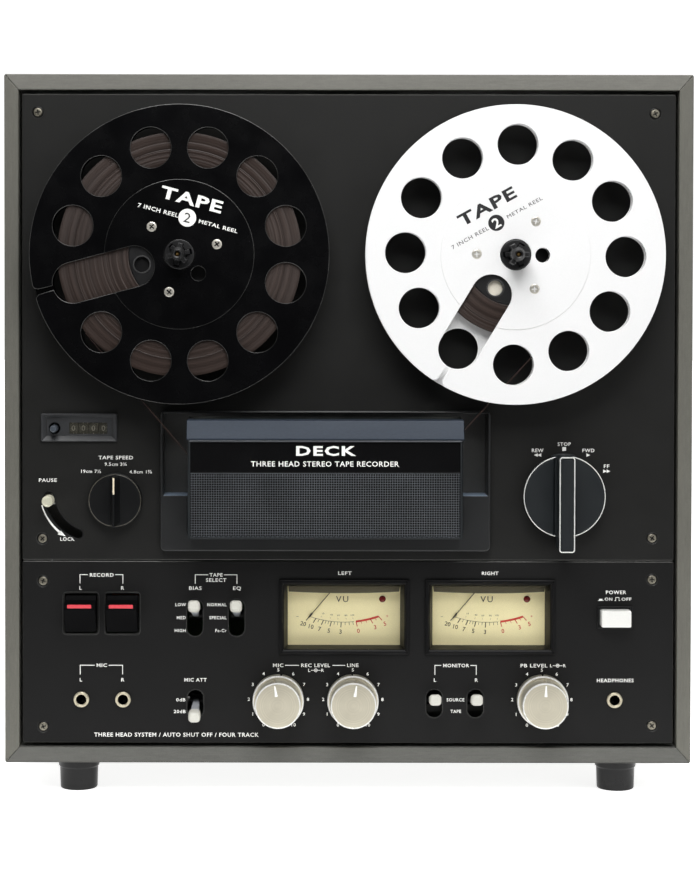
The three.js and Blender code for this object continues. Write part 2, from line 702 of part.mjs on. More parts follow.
function addPowerButton() {
  const { x, z, width, height, front } = POWER;
  const face = slab(rounded(x - width / 2, x + width / 2, z - height / 2, z + height / 2, 1, 2), front, 4);
  add("power_button", join(face, box(x - 3, x + 3, 3, 22, z - 3, z + 3)), "white");
}

// ---- Level meters ------------------------------------------------------------------------------------

// A case with a bezel in front of the panel, a tall space behind it for the needle and its pivot, and the
// round movement at the back.
function addMeter({ side, x }) {
  const { z, bezel, opening, neck, body, dial, pivotZ, needle, restAngle } = METER;
  const [bodyWidth, bodyBottom, bodyTop] = body;
  const behind = PANEL.thickness + GAP;
  const shell = join(
    slab(centred(x, z, ...bezel), -1.8, -GAP),
    slab(centred(x, z, ...neck), -1, behind + 1),
    box(x - bodyWidth / 2, x + bodyWidth / 2, behind, dial + 3, bodyBottom, bodyTop),
    rod(x, pivotZ - 22, 16, dial + 2, dial + 22, 24),
  );
  const mouth = slab(centred(x, z, ...opening), -5, dial);
  const [halfWidth, halfHeight] = opening.map((size) => size / 2);
  const room = box(x - halfWidth, x + halfWidth, behind + 1.5, dial, z - halfHeight, bodyTop - 2);
  add(`meter_case_${side}`, cut(shell, mouth, room), "black");

  const pointer = station(x, pivotZ, -restAngle);
  const arm = box(-0.35, 0.35, dial - 2, dial - 1.3, -needle, 4);
  const hub = rod(0, 0, 2.2, dial - 2.6, dial - 0.6, 12);
  add(`meter_needle_${side}`, join(arm, hub), "black", pointer);
}

// ---- Electronics -------------------------------------------------------------------------------------

// The amplifier board carries the transformer, the smoothing capacitors, the rear sockets and the mains
// inlet.
function addAmplifierBoard() {
  const { y, thickness } = BOARD;
  const back = y + thickness;
  const { x0, z, rows, columns, pitchX, pitchZ, radius } = SOCKETS;
  const sockets = [];
  for (let row = 0; row < rows; row++)
    for (let column = 0; column < columns; column++) {
      const socketZ = z + (row - 0.5) * pitchZ;
      sockets.push(rod(x0 + 11 + column * pitchX, socketZ, radius, back + 14, CABINET.back - 1, 12));
    }
  const inlet = cut(
    slab(centred(INLET.x, INLET.z, INLET.width, INLET.height), back - 0.5, BACK.y + 4.5),
    slab(centred(INLET.x, INLET.z, 20, 12), back + 6, CABINET.back + 5),
  );
  const board = join(
    box(-170, 100, y, back, 46, 136),
    box(-160, -105, y - 46, y + 0.5, 88, 133),
    ...[-80, -55, -30].map((x) => rod(x, 112, 9, y - 32, y + 0.5, 16)),
    box(x0, x0 + 100, back - 0.5, back + 15, z - 21, z + 21),
    ...sockets,
    inlet,
  );
  add("amplifier_board", board, "board");
}

// ---- Build the deck ----------------------------------------------------------------------------------

addCabinet();
for (const [side, sign] of [["left", -1], ["right", 1]]) {
  addFoot(`foot_front_${side}`, sign * FOOT.x, FOOT.front);
  addFoot(`foot_rear_${side}`, sign * FOOT.x, FOOT.rear);
}
addPanels();
addChassis();
addReel("left", SUPPLY, "black");
addReel("right", TAKE_UP, "white");
addTapeRun();
addHeadBlock();
addCapstan();
addPinchRoller();
addHeadHousing();
addHeadCover();
addFunctionKnob();
addSpeedKnob();
addPauseLever();
addCounter();
addRecordKey("record_key_left", KEY.left);
addRecordKey("record_key_right", KEY.right);
LEVERS.forEach(addLever);
LEVEL_KNOBS.forEach(addLevelKnob);
JACKS.forEach(addJack);
addPowerButton();
METERS.forEach(addMeter);
addAmplifierBoard();

deck.position.y = -(SPINDLE.tip + CABINET.back) / 2;

export default deck;
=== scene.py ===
"""Reel to reel tape deck: the visual model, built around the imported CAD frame.

Shapes are drawn in panel space, in millimetres: x across, z up, and h forward from the face of the deck
panel. TO_FRAME turns that into the frame, in metres. A shape is a pair of lists, its points and its faces.
"""
import math
import random

import bmesh
import bpy
from mathutils import Matrix, Vector
from mathutils.geometry import tessellate_polygon


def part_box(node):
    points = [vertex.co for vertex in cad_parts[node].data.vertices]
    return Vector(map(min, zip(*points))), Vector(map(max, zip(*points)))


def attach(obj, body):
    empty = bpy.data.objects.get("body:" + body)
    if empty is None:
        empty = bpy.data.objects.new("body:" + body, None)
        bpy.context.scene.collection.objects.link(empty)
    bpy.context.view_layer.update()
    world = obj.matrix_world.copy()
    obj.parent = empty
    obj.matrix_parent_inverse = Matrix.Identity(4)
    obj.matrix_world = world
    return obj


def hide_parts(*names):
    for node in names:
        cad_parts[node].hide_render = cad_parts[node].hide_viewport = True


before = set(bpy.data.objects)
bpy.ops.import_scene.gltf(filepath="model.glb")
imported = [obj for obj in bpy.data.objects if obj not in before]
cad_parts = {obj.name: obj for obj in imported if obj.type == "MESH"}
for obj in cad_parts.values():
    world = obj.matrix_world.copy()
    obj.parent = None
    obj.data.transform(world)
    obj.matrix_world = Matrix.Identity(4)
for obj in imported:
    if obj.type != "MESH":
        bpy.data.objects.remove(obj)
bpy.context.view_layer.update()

PANEL_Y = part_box("deck_panel")[0].y
TO_FRAME = Matrix.Translation((0, PANEL_Y, 0)) @ Matrix.Rotation(math.pi / 2, 4, "X") @ Matrix.Scale(0.001, 4)

# ---- Dimensions, in millimetres ------------------------------------------------------------------------

HALF = 207  # half the cabinet's width
FLOOR_Z, TOP_Z = 19, 434
SIDE, BOARD = 8.5, 9.4
SEAM_Z = 141.2
PANEL_HALF, PANEL_BOTTOM, PANEL_TOP = 196.7, 30.6, 422.4
BACK_H, BACK_FACE, SOCKET_FACE = -166, -161, -155

SUPPLY = {"side": "left", "x": -100.7, "z": 325.6, "slot": 195, "pack": 72.5, "text": -15}
TAKE_UP = {"side": "right", "x": 98.6, "z": 325.6, "slot": 239, "pack": 48, "text": 29}
REEL_R, HOLE_R, HOLE_CIRCLE, SLOT_END = 89, 12.1, 65.3, 27.7

HOUSING = (-112.9, 85.3, 147.5, 232)
POCKET = (-96.7, 68.7, 156.6, 227.4)
LEDGE_Z = 181
COVER = (-96, 68, 157.3, 226.4)
BROW_Z, COVER_FRONT = 216, 28
BAND_Z = 196.5

CAPSTAN, PINCH_PIVOT, PINCH_ROLLER = (18, 187.4), (48, 168), (18, 170)
FUNCTION = (129.5, 181)
SPEED = (-140.3, 178)
PAUSE, PAUSE_REACH, PAUSE_REST = (-152.5, 183.3), 28.2, 191
COUNTER = (-185.2, -139.4, 213.1, 230)
WHEELS = ("thousands", "hundreds", "tens", "units")
WHEEL_X, WHEEL_PITCH, WHEEL_Z, WHEEL_R = -166.1, 6.03, 221, 7.2
RESET_X, WHEEL_AXIS_H = -177.2, -10

KEYS = {"left": -161.3, "right": -136.3}
KEY_Z, KEY_WIDTH = 109.1, 18.8
LEVERS = {
    "bias_lever": (-92.5, 106.5, 22.3, 18.5),
    "eq_lever": (-67.3, 106.5, 22.3, 18.5),
    "mic_attenuator_lever": (-92.2, 54.4, 17, -11.5),
    "monitor_lever_left": (52.2, 54.8, 17, 9),
    "monitor_lever_right": (77.1, 54.8, 17, 9),
}
LEVER_AXIS_H = -15
LEVELS = {"mic_level": (-42, 9, -6.6), "line_level": (3, -8.5, 1.6), "playback_level": (117.3, -1, -1.2)}
LEVEL_Z = 57.2
JACKS = {"mic_jack_left": -161.1, "mic_jack_right": -135.9, "headphone_jack": 161.2}
JACK_Z = 57
POWER = (161.2, 107.1, 17.9, 10)
METERS = {"left": -2.3, "right": 85.8}
METER_Z, PIVOT_Z, DIAL_H = 107.2, 130.4, -12.5
SCREWS = [
    (-187, 411.3), (184.3, 410.9), (-184.5, 154.4), (183.5, 155.1),
    (-184.2, 128.7), (183.6, 130), (-184.1, 40.5), (183.9, 41.5),
]

# ---- Outlines: lists of points in the panel plane, anticlockwise -----------------------------------------


def polar(x, z, radius, degrees):
    """The point on a circle at an angle."""
    a = math.radians(degrees)
    return Vector((x + radius * math.cos(a), z + radius * math.sin(a)))


def arc(x, z, radius, start, stop, steps):
    return [polar(x, z, radius, start + (stop - start) * i / steps) for i in range(steps + 1)]


def circle(x, z, radius, sides=48):
    return arc(x, z, radius, 0, 360 - 360 / sides, sides - 1)


def rect(x0, x1, z0, z1):
    return [Vector((x0, z0)), Vector((x1, z0)), Vector((x1, z1)), Vector((x0, z1))]


def centred(x, z, width, height):
    return rect(x - width / 2, x + width / 2, z - height / 2, z + height / 2)


def points(*pairs):
    return [Vector(p) for p in pairs]


def fillet(outline, radius, steps=4):
    """The outline with each corner rounded."""
    made = []
    for i, p in enumerate(outline):
        before, after = outline[i - 1], outline[(i + 1) % len(outline)]
        u, v = (before - p).normalized(), (after - p).normalized()
        half = math.acos(max(-1, min(1, u.dot(v)))) / 2
        if half > 1.5 or half < 0.02:
            made.append(p)
            continue
        reach = min(radius / math.tan(half), (before - p).length * 0.49, (after - p).length * 0.49)
        size = reach * math.tan(half)
        centre = p + (u + v).normalized() * (size / math.sin(half))
        first, last = p + u * reach - centre, p + v * reach - centre
        turn = math.atan2(first.x * last.y - first.y * last.x, first.dot(last))
        begin = math.atan2(first.y, first.x)
        for k in range(steps + 1):
            a = begin + turn * k / steps
            made.append(centre + Vector((math.cos(a), math.sin(a))) * size)
    return made


def round_rect(x0, x1, z0, z1, radius, steps=4):
    return fillet(rect(x0, x1, z0, z1), radius, steps)


def stadium(x, z, width, height):
    return fillet(centred(x, z, width, height), min(width, height) / 2 - 0.01, 8)


def anticlockwise(outline):
    area = sum(a.x * b.y - b.x * a.y for a, b in zip(outline, outline[1:] + outline[:1]))
    return list(outline) if area > 0 else list(outline)[::-1]


def inset(outline, distance):
    """The outline moved inwards, or outwards where distance is below zero."""
    if not distance:
        return list(outline)
    made = []
    for i, p in enumerate(outline):
        a = (p - outline[i - 1]).normalized()
        b = (outline[(i + 1) % len(outline)] - p).normalized()
        normal = Vector((-a.y - b.y, a.x + b.x)).normalized()
        lean = max(0.4, normal.dot(Vector((-a.y, a.x))))
        made.append(p + normal * (distance / lean))
    return made


def spline_outline(radius, reach, width):
    """A ring with a straight-sided arm every 120 degrees."""
    root = math.degrees(math.asin(width / 2 / radius))
    made = []
    for arm in (0, 120, 240):
        along, side = Vector((math.cos(math.radians(arm)), math.sin(math.radians(arm)))), width / 2
        across = Vector((-along.y, along.x))
        made += [along * reach - across * side, along * reach + across * side]
        made += arc(0, 0, radius, arm + root, arm + 120 - root, 8)
    return made


# ---- Shapes ----------------------------------------------------------------------------------------------


def merge(*shapes):
    verts, faces = [], []
    for shape_verts, shape_faces in shapes:
        first = len(verts)
        verts += shape_verts
        faces += [tuple(first + i for i in face) for face in shape_faces]
    return verts, faces


def placed(shape, matrix):
    return [tuple(matrix @ Vector(v)) for v in shape[0]], shape[1]


def moved(shape, x=0, z=0, h=0):
    return placed(shape, Matrix.Translation((x, z, h)))


def spun(shape, degrees, x=0, z=0):
    """Turned anticlockwise about the panel's normal at (0, 0), then set down at (x, z)."""
    return placed(shape, Matrix.Translation((x, z, 0)) @ Matrix.Rotation(math.radians(degrees), 4, "Z"))


def tilted(shape, degrees, z, h):
    """Turned about the X direction through (z, h): up for a positive angle."""
    there = Matrix.Translation((0, z, h))
    return placed(shape, there @ Matrix.Rotation(math.radians(-degrees), 4, "X") @ there.inverted())


def across(shape):
    """A shape drawn in (h, z) with its depth along x."""
    return [(v[2], v[1], v[0]) for v in shape[0]], shape[1]


def standing(shape):
    """A shape drawn in (x, depth) with its height along z. Depth runs towards the back."""
    return [(v[0], v[2], -v[1]) for v in shape[0]], shape[1]


def loft(rings, closed=False):
    """Skin through rings of the same number of 3-D points: capped, or joined last to first."""
    size, verts = len(rings[0]), [tuple(p) for ring in rings for p in ring]
    faces = []
    for r in range(len(rings) if closed else len(rings) - 1):
        a, b = r * size, (r + 1) % len(rings) * size
        faces += [(a + i, a + (i + 1) % size, b + (i + 1) % size, b + i) for i in range(size)]
    if not closed:
        last = (len(rings) - 1) * size
        faces += [tuple(range(size))[::-1], tuple(range(last, last + size))]
    return verts, faces


def at(outline, h):
    return [(p.x, p.y, h) for p in outline]


def stack(*rows, closed=False):
    """A skin through outlines laid flat: each row is an outline, how far it is inset, and its height."""
    return loft([at(inset(outline, shift), h) for outline, shift, h in rows], closed)


def lathe(profile, x=0, z=0, sides=64, closed=False):
    """A body turned about the panel's normal. The profile is (radius, h) pairs."""
    rings = [at(circle(x, z, max(radius, 0.001), sides), h) for radius, h in profile]
    return loft(rings, closed)


def rod(radius, back, front, x=0, z=0, sides=64):
    return lathe([(0, front), (radius, front), (radius, back), (0, back)], x, z, sides)


def softened(profile, radius):
    """An open profile with its inner corners rounded."""
    flat, steps = points(*profile), 3
    made = [flat[0]]
    for i in range(1, len(flat) - 1):
        triangle = fillet([flat[i - 1], flat[i], flat[i + 1]], radius, steps)
        made += triangle[steps + 1:2 * steps + 2]
    return [tuple(p) for p in made + [flat[-1]]]


def edge_rows(back, front, edge, steps, both):
    quarter = [math.pi / 2 * i / steps for i in range(steps + 1)]
    rows = [(edge * (1 - math.cos(t)), front - edge * (1 - math.sin(t))) for t in quarter]
    start = [(edge * (1 - math.cos(t)), back + edge * (1 - math.sin(t))) for t in reversed(quarter)]
    return (start if both else [(0, back)]) + rows


def plate(outline, back, front, holes=(), edge=0.3, rim=0.15, steps=2, both=False):
    """An outline given depth, with a rounded front edge, and holes with their own rounded rims."""
    verts, faces, loops = [], [], []
    for n, ring in enumerate([outline, *holes]):
        ring, sign = anticlockwise(ring), 1 if n == 0 else -1
        rows = edge_rows(back, front, edge if n == 0 else rim, steps if n == 0 else 1, both)
        first, size = len(verts), len(ring)
        for shift, height in rows:
            verts += [(p.x, p.y, height) for p in inset(ring, sign * shift)]
        for r in range(len(rows) - 1):
            a = first + r * size
            for i in range(size):
                j = (i + 1) % size
                quad = (a + i, a + j, a + size + j, a + size + i)
                faces.append(quad if sign > 0 else quad[::-1])
        last = first + (len(rows) - 1) * size
        loops.append((range(first, first + size), range(last, last + size)))
    for end in (0, 1):
        rings = [list(loop[end]) for loop in loops]
        order = [i for ring in rings for i in ring]
        flat = [[Vector(verts[i]) for i in ring] for ring in rings]
        for triangle in tessellate_polygon(flat):
            a, b, c = (order[i] for i in triangle)
            p, q, r = (Vector(verts[i][:2]) for i in (a, b, c))
            up = (q - p).x * (r - p).y - (q - p).y * (r - p).x > 0
            faces.append((a, b, c) if up == (end == 1) else (a, c, b))
    return verts, faces


def block(x0, x1, z0, z1, back, front, edge=0.3):
    return plate(fillet(rect(x0, x1, z0, z1), edge, 2), back, front, edge=edge, both=True)


def tube(path, radius, flat):
    """A thin square wire through 3-D points that run mostly along z, or along x when flat is "z"."""
    rings, sides = [], 4
    for p in path:
        ring = []
        for i in range(sides):
            a = 2 * math.pi * (i + 0.5) / sides
            c, s = radius * math.cos(a), radius * math.sin(a)
            ring.append((p[0] + c, p[1], p[2] + s) if flat == "x" else (p[0], p[1] + c, p[2] + s))
        rings.append(ring)
    return loft(rings)


# ---- Lettering -------------------------------------------------------------------------------------------

FONT_CURVE = bpy.data.curves.new("lettering", "FONT")
FONT_CURVE.resolution_u = 2
FONT_CURVE.align_y = "BOTTOM_BASELINE"
FONT_OBJECT = bpy.data.objects.new("lettering", FONT_CURVE)
bpy.context.scene.collection.objects.link(FONT_OBJECT)


def typeset(text, align, bold, spacing, thickness):
    FONT_CURVE.body, FONT_CURVE.align_x = text, align
    FONT_CURVE.offset, FONT_CURVE.space_character, FONT_CURVE.extrude = bold, spacing, thickness / 2
    bpy.context.view_layer.update()
    evaluated = FONT_OBJECT.evaluated_get(bpy.context.evaluated_depsgraph_get())
    mesh = evaluated.to_mesh()
    made = [tuple(v.co) for v in mesh.vertices], [tuple(p.vertices) for p in mesh.polygons]
    evaluated.to_mesh_clear()
    return made


CAP = max(v[1] for v in typeset("H", "LEFT", 0, 1, 0.02)[0])
INK, LINE_WIDTH = 0.05, 0.42


def letters(text, x, z, cap=2.05, turn=0, align="CENTER", bold=0.014, wide=1.1, spacing=1.12, h=0.0, width=0):
    """Printed lettering as thick as the ink, centred on z, with capitals of the given height. A width, where
    there is one, is what the text is stretched to."""
    scale = cap / CAP
    shape = typeset(text, align, bold, spacing, 0.07 / scale)
    if width:
        across_text = [v[0] for v in shape[0]]
        wide = width / (scale * (max(across_text) - min(across_text)))
    matrix = Matrix.Diagonal((scale * wide, scale, scale, 1))
    shape = placed(shape, Matrix.Translation((0, -cap / 2, 0.015)) @ matrix)
    return moved(spun(shape, turn), x, z, h)


def words(*rows):
    """Lettering from rows of a text, its place, its width and, where it isn't the usual one, its height."""
    return [letters(text, x, z, *cap, width=width) for text, x, z, width, *cap in rows]


def spot(outline, h=0.0):
    return plate(outline, h - 0.02, h + INK, edge=0.01, steps=1)


def stroke(path, width, h=0.0):
    """A printed line through points, as one strip with mitred turns."""
    sides = []
    for i, p in enumerate(path):
        a = (p - path[i - 1]).normalized() if i else None
        b = (path[i + 1] - p).normalized() if i + 1 < len(path) else None
        a, b = a or b, b or a
        normal = Vector((-a.y - b.y, a.x + b.x)).normalized()
        sides.append(normal * (width / 2 / max(0.5, normal.dot(Vector((-a.y, a.x))))))
    return spot([p - n for p, n in zip(path, sides)] + [p + n for p, n in zip(path[::-1], sides[::-1])], h)


def line(x0, z0, x1, z1, width=LINE_WIDTH, h=0.0):
    return stroke(points((x0, z0), (x1, z1)), width, h)


def bracket(x0, x1, top, bottom, gap0, gap1):
    """A line over two columns that turns down at both ends, broken for a title between gap0 and gap1."""
    halves = (gap0, x0), (gap1, x1)
    return merge(*(stroke(points((gap, top), (x, top), (x, bottom)), LINE_WIDTH) for gap, x in halves))


def triangle(x, z, size, direction):
    a, b = size * 0.55 * direction, size / 2
    return spot(points((x - a, z - b), (x + a, z), (x - a, z + b)))


# ---- Materials -------------------------------------------------------------------------------------------


def linear(rgb):
    return [(c / 255 / 12.92) if c <= 10.3 else ((c / 255 + 0.055) / 1.055) ** 2.4 for c in rgb]


MATERIALS = {}


class Shader:
    """A node tree under construction, with short calls for the nodes that the finishes share."""

    def __init__(self, name):
        self.material = MATERIALS[name] = bpy.data.materials.new(name)
        self.material.use_nodes = True
        self.tree = self.material.node_tree
        self.principled = self.tree.nodes["Principled BSDF"]

    def node(self, kind, **settings):
        made = self.tree.nodes.new(kind)
        for key, value in settings.items():
            setattr(made, key, value)
        return made

    def link(self, source, target):
        self.tree.links.new(source, target)

    def coordinates(self, stretch=(1, 1, 1)):
        texture = self.node("ShaderNodeTexCoord")
        mapping = self.node("ShaderNodeMapping")
        mapping.inputs["Scale"].default_value = stretch
        self.link(texture.outputs["Object"], mapping.inputs["Vector"])
        return mapping.outputs["Vector"]

    def noise(self, coordinates, scale, detail=3, rough=0.55):
        made = self.node("ShaderNodeTexNoise")
        made.inputs["Scale"].default_value = scale
        made.inputs["Detail"].default_value = detail
        made.inputs["Roughness"].default_value = rough
        self.link(coordinates, made.inputs["Vector"])
        return made.outputs["Fac"]

    def along_radius(self, scale, detail=4):
        """Noise that changes only with the distance from the object's origin, across the panel."""
        flat = self.coordinates((1, 0, 1))
        length = self.node("ShaderNodeVectorMath", operation="LENGTH")
        self.link(flat, length.inputs[0])
        made = self.node("ShaderNodeTexNoise", noise_dimensions="1D")
        made.inputs["Scale"].default_value = scale
        made.inputs["Detail"].default_value = detail
        self.link(length.outputs["Value"], made.inputs["W"])
        return made.outputs["Fac"]

    def spread(self, value, low, high, source=(0.3, 0.7)):
        made = self.node("ShaderNodeMapRange")
        made.inputs["From Min"].default_value, made.inputs["From Max"].default_value = source
        made.inputs["To Min"].default_value, made.inputs["To Max"].default_value = low, high
        self.link(value, made.inputs["Value"])
        return made.outputs["Result"]

    def product(self, a, b):
        made = self.node("ShaderNodeMath", operation="MULTIPLY")
        self.link(a, made.inputs[0])
        self.link(b, made.inputs[1])
        return made.outputs["Value"]

    def colour(self, rgb, factor):
        made = self.node("ShaderNodeVectorMath", operation="SCALE")
        made.inputs[0].default_value = linear(rgb)
        self.link(factor, made.inputs["Scale"])
        self.link(made.outputs["Vector"], self.principled.inputs["Base Color"])

    def bump(self, height, millimetres, under=None):
        made = self.node("ShaderNodeBump")
        made.inputs["Strength"].default_value = 1
        made.inputs["Distance"].default_value = millimetres / 1000
        self.link(height, made.inputs["Height"])
        if under:
            self.link(under, made.inputs["Normal"])
        self.link(made.outputs["Normal"], self.principled.inputs["Normal"])
        return made.outputs["Normal"]

    def constants(self, **values):
        for key, value in values.items():
            self.principled.inputs[key.replace("_", " ")].default_value = value


def finish(name, rgb, roughness, metal=0.0, speckle=(1300, 0.05), cloud=(18, 0.05), relief=(1500, 0.01),
           wear=0.06, stretch=(1, 1, 1), **constants):
    """A moulded, painted or plated surface: fine speckle over broad clouding, uneven gloss, fine relief."""
    s = Shader(name)
    place = s.coordinates(stretch)
    fine = s.spread(s.noise(place, speckle[0]), 1 - speckle[1], 1 + speckle[1])
    broad = s.spread(s.noise(s.coordinates(), cloud[0], 5), 1 - cloud[1], 1 + cloud[1])
    s.colour(rgb, s.product(fine, broad))
    s.link(s.spread(s.noise(place, 60, 6), roughness - wear, roughness + wear),
           s.principled.inputs["Roughness"])
    s.bump(s.noise(place, relief[0], 2), relief[1])
    s.constants(Metallic=metal, **constants)


def spun_metal(name, rgb, roughness, metal):
    """Metal turned on a lathe: fine rings round the object's origin, in gloss, tint and relief."""
    s = Shader(name)
    rings, streaks = s.along_radius(9000), s.along_radius(1500, 6)
    broad = s.spread(s.noise(s.coordinates(), 90, 4), 0.96, 1.04)
    s.colour(rgb, s.product(s.spread(streaks, 0.93, 1.05), broad))
    s.link(s.spread(rings, roughness - 0.07, roughness + 0.07), s.principled.inputs["Roughness"])
    s.bump(rings, 0.004)
    tangent = s.node("ShaderNodeTangent", direction_type="RADIAL", axis="Y")
    s.link(tangent.outputs["Tangent"], s.principled.inputs["Tangent"])
    s.constants(Metallic=metal, Anisotropic=0.5)


def wound_tape(name, rgb):
    """The edges of wound tape: rings of uneven brightness that also drift round the pack."""
    s = Shader(name)
    coarse, fine = s.along_radius(420, 5), s.along_radius(5200, 3)
    drift = s.spread(s.noise(s.coordinates(), 22, 3), 0.82, 1.14)
    s.colour(rgb, s.product(s.product(s.spread(coarse, 0.72, 1.22), s.spread(fine, 0.85, 1.12)), drift))
    s.link(s.spread(coarse, 0.36, 0.56), s.principled.inputs["Roughness"])
    s.bump(fine, 0.03)
    tangent = s.node("ShaderNodeTangent", direction_type="RADIAL", axis="Y")
    s.link(tangent.outputs["Tangent"], s.principled.inputs["Tangent"])
    s.constants(Metallic=0.1, Anisotropic=0.6, Specular_IOR_Level=0.3)


def covering(name, rgb, stretch):
    """The cabinet's vinyl covering: a fine grain along the board, with a pebbled relief and dark pores."""
    s = Shader(name)
    grain = s.coordinates(stretch)
    lines = s.spread(s.noise(grain, 900, 5, 0.7), 0.88, 1.1)
    pores = s.spread(s.noise(s.coordinates(), 2300, 2), 0.9, 1.06)
    broad = s.spread(s.noise(s.coordinates(), 14, 4), 0.95, 1.05)
    s.colour(rgb, s.product(s.product(lines, pores), broad))
    s.link(s.spread(s.noise(grain, 300, 4), 0.5, 0.68), s.principled.inputs["Roughness"])
    under = s.bump(s.noise(grain, 900, 4), 0.05)
    s.bump(s.noise(s.coordinates(), 1700, 3), 0.03, under)
    s.constants(Specular_IOR_Level=0.35)


def clear(name, opacity, rgb):
    """A clear sheet, tinted and barely there."""
    s = Shader(name)
    s.link(s.spread(s.noise(s.coordinates(), 40), 0.02, 0.06), s.principled.inputs["Roughness"])
    s.colour(rgb, s.spread(s.noise(s.coordinates(), 30), 0.98, 1))
    s.constants(Alpha=opacity)


LENGTHWISE, UPRIGHT = (0.12, 1, 1), (1, 1, 0.12)

# One vinyl in three tones: the top board is painted lighter and the bottom board darker than the uprights, as
# painted light and painted shade.
covering("vinyl_top_painted_lighter", (111, 110, 104), LENGTHWISE)
covering("vinyl_bottom_painted_darker", (90, 90, 86), LENGTHWISE)
covering("vinyl_upright", (97, 96, 89), UPRIGHT)
finish("deck_paint", (27, 27, 26), 0.5, speckle=(1600, 0.18), cloud=(9, 0.12),
       relief=(1100, 0.02), Specular_IOR_Level=0.2)
# The control panel's paint is a darker copy of the deck panel's: painted shade for the lower half of the
# front.
finish("control_paint_painted_darker", (20, 20, 20), 0.52, speckle=(1600, 0.15), cloud=(9, 0.1),
       relief=(1100, 0.016), Specular_IOR_Level=0.16)
finish("black", (14, 14, 15), 0.42, speckle=(1500, 0.12), relief=(1200, 0.012),
       Specular_IOR_Level=0.25)
finish("satin_black", (18, 23, 26), 0.5, speckle=(1500, 0.12), relief=(1500, 0.02),
       Specular_IOR_Level=0.4)
finish("gloss_black", (10, 10, 11), 0.2, speckle=(800, 0.15), relief=(300, 0.004),
       wear=0.05, Specular_IOR_Level=0.3)
finish("reel_black", (4, 4, 5), 0.26, speckle=(1400, 0.2), cloud=(26, 0.25),
       relief=(500, 0.004), Specular_IOR_Level=0.2)
finish("hub_black", (22, 22, 23), 0.36, speckle=(1400, 0.1))
finish("rubber", (24, 25, 26), 0.62, speckle=(900, 0.15), relief=(900, 0.04))
finish("pressed_board", (40, 36, 32), 0.8, speckle=(700, 0.25), relief=(500, 0.12))
finish("reel_white", (232, 232, 232), 0.45, speckle=(1200, 0.012), cloud=(12, 0.012),
       relief=(600, 0.004))
finish("lever_white", (226, 226, 222), 0.35, speckle=(900, 0.02), relief=(700, 0.006))
finish("steel", (172, 173, 170), 0.36, 0.95, stretch=(1, 1, 8), relief=(900, 0.008))
finish("nickel", (196, 194, 186), 0.3, 0.95, cloud=(300, 0.12), relief=(900, 0.01))
finish("aged_nickel", (122, 118, 106), 0.4, 0.6, cloud=(500, 0.3), relief=(1200, 0.02))
# Bright trim: the real silver edges of the function knob, and on the level knobs pale rings that are a
# painted highlight on their rims.
finish("silver_trim_and_painted_highlight", (238, 238, 234), 0.3, 0.3, speckle=(1500, 0.06))
finish("brass", (176, 140, 84), 0.34, 0.95, cloud=(300, 0.2))
finish("lamination", (92, 92, 94), 0.5, 0.8, stretch=(0.1, 1, 14), speckle=(300, 0.3))
finish("copper_tape", (168, 96, 52), 0.4, 0.7, cloud=(60, 0.15))
finish("circuit_board", (58, 84, 46), 0.5, speckle=(260, 0.25), cloud=(60, 0.25))
finish("sleeve_blue", (40, 62, 96), 0.4, speckle=(500, 0.06))
spun_metal("spun_aluminium", (196, 190, 172), 0.42, 0.75)
wound_tape("tape", (50, 40, 36))
finish("tape_face", (52, 39, 34), 0.3, speckle=(700, 0.08), stretch=(0.2, 1, 0.2))
finish("brow", (43, 51, 62), 0.42, 0.2, speckle=(1700, 0.1), stretch=(0.3, 1, 1),
       relief=(1600, 0.012), Specular_IOR_Level=0.3)
# A pale line for the top edge of the cover's band: a painted highlight.
finish("lip_painted_highlight", (98, 101, 106), 0.4, 0.3, speckle=(800, 0.06))
finish("wire", (138, 142, 149), 0.34, 0.7, speckle=(2000, 0.3), cloud=(50, 0.15))
finish("shade", (84, 78, 56), 0.5, speckle=(900, 0.08))
finish("dial", (250, 238, 186), 0.7, speckle=(1500, 0.02), cloud=(30, 0.03), relief=(1800, 0.01))
finish("dial_ink", (34, 30, 25), 0.6, speckle=(2500, 0.2))
finish("dial_red", (204, 58, 44), 0.6, speckle=(2500, 0.1))
finish("lamp_red", (110, 22, 20), 0.18, speckle=(600, 0.1), Coat_Weight=0.6)
finish("key_red", (214, 60, 72), 0.35, speckle=(900, 0.06), Coat_Weight=0.2)
finish("ring_red", (176, 34, 32), 0.4, speckle=(900, 0.06))
finish("print_white", (242, 242, 238), 0.6, speckle=(2600, 0.05))
# A pale metal for the black reel's bevels: a painted highlight round its rims and holes, which the lamps also
# catch.
finish("reel_bevel_painted_highlight", (84, 84, 83), 0.36, 0.9, speckle=(900, 0.3), cloud=(60, 0.3))
finish("dark_metal", (84, 84, 84), 0.4, 0.7, speckle=(900, 0.2))
finish("housing_black", (27, 28, 29), 0.5, speckle=(1500, 0.12), cloud=(20, 0.15),
       relief=(1200, 0.012), Specular_IOR_Level=0.35)
# The ledges are much paler than their own colour: painted light on a strip in shadow.
finish("ledge_painted_light", (122, 138, 156), 0.45, speckle=(1500, 0.1))
# The head housing's recess is a paler grey than the housing: painted light in a shaded recess.
finish("recess_painted_light", (78, 78, 77), 0.5, speckle=(1500, 0.12), cloud=(20, 0.15))
# A paler finish for the head housing's bevels: a painted highlight along its rim.
finish("housing_bevel_painted_highlight", (44, 45, 46), 0.4, 0.2, speckle=(1200, 0.15))
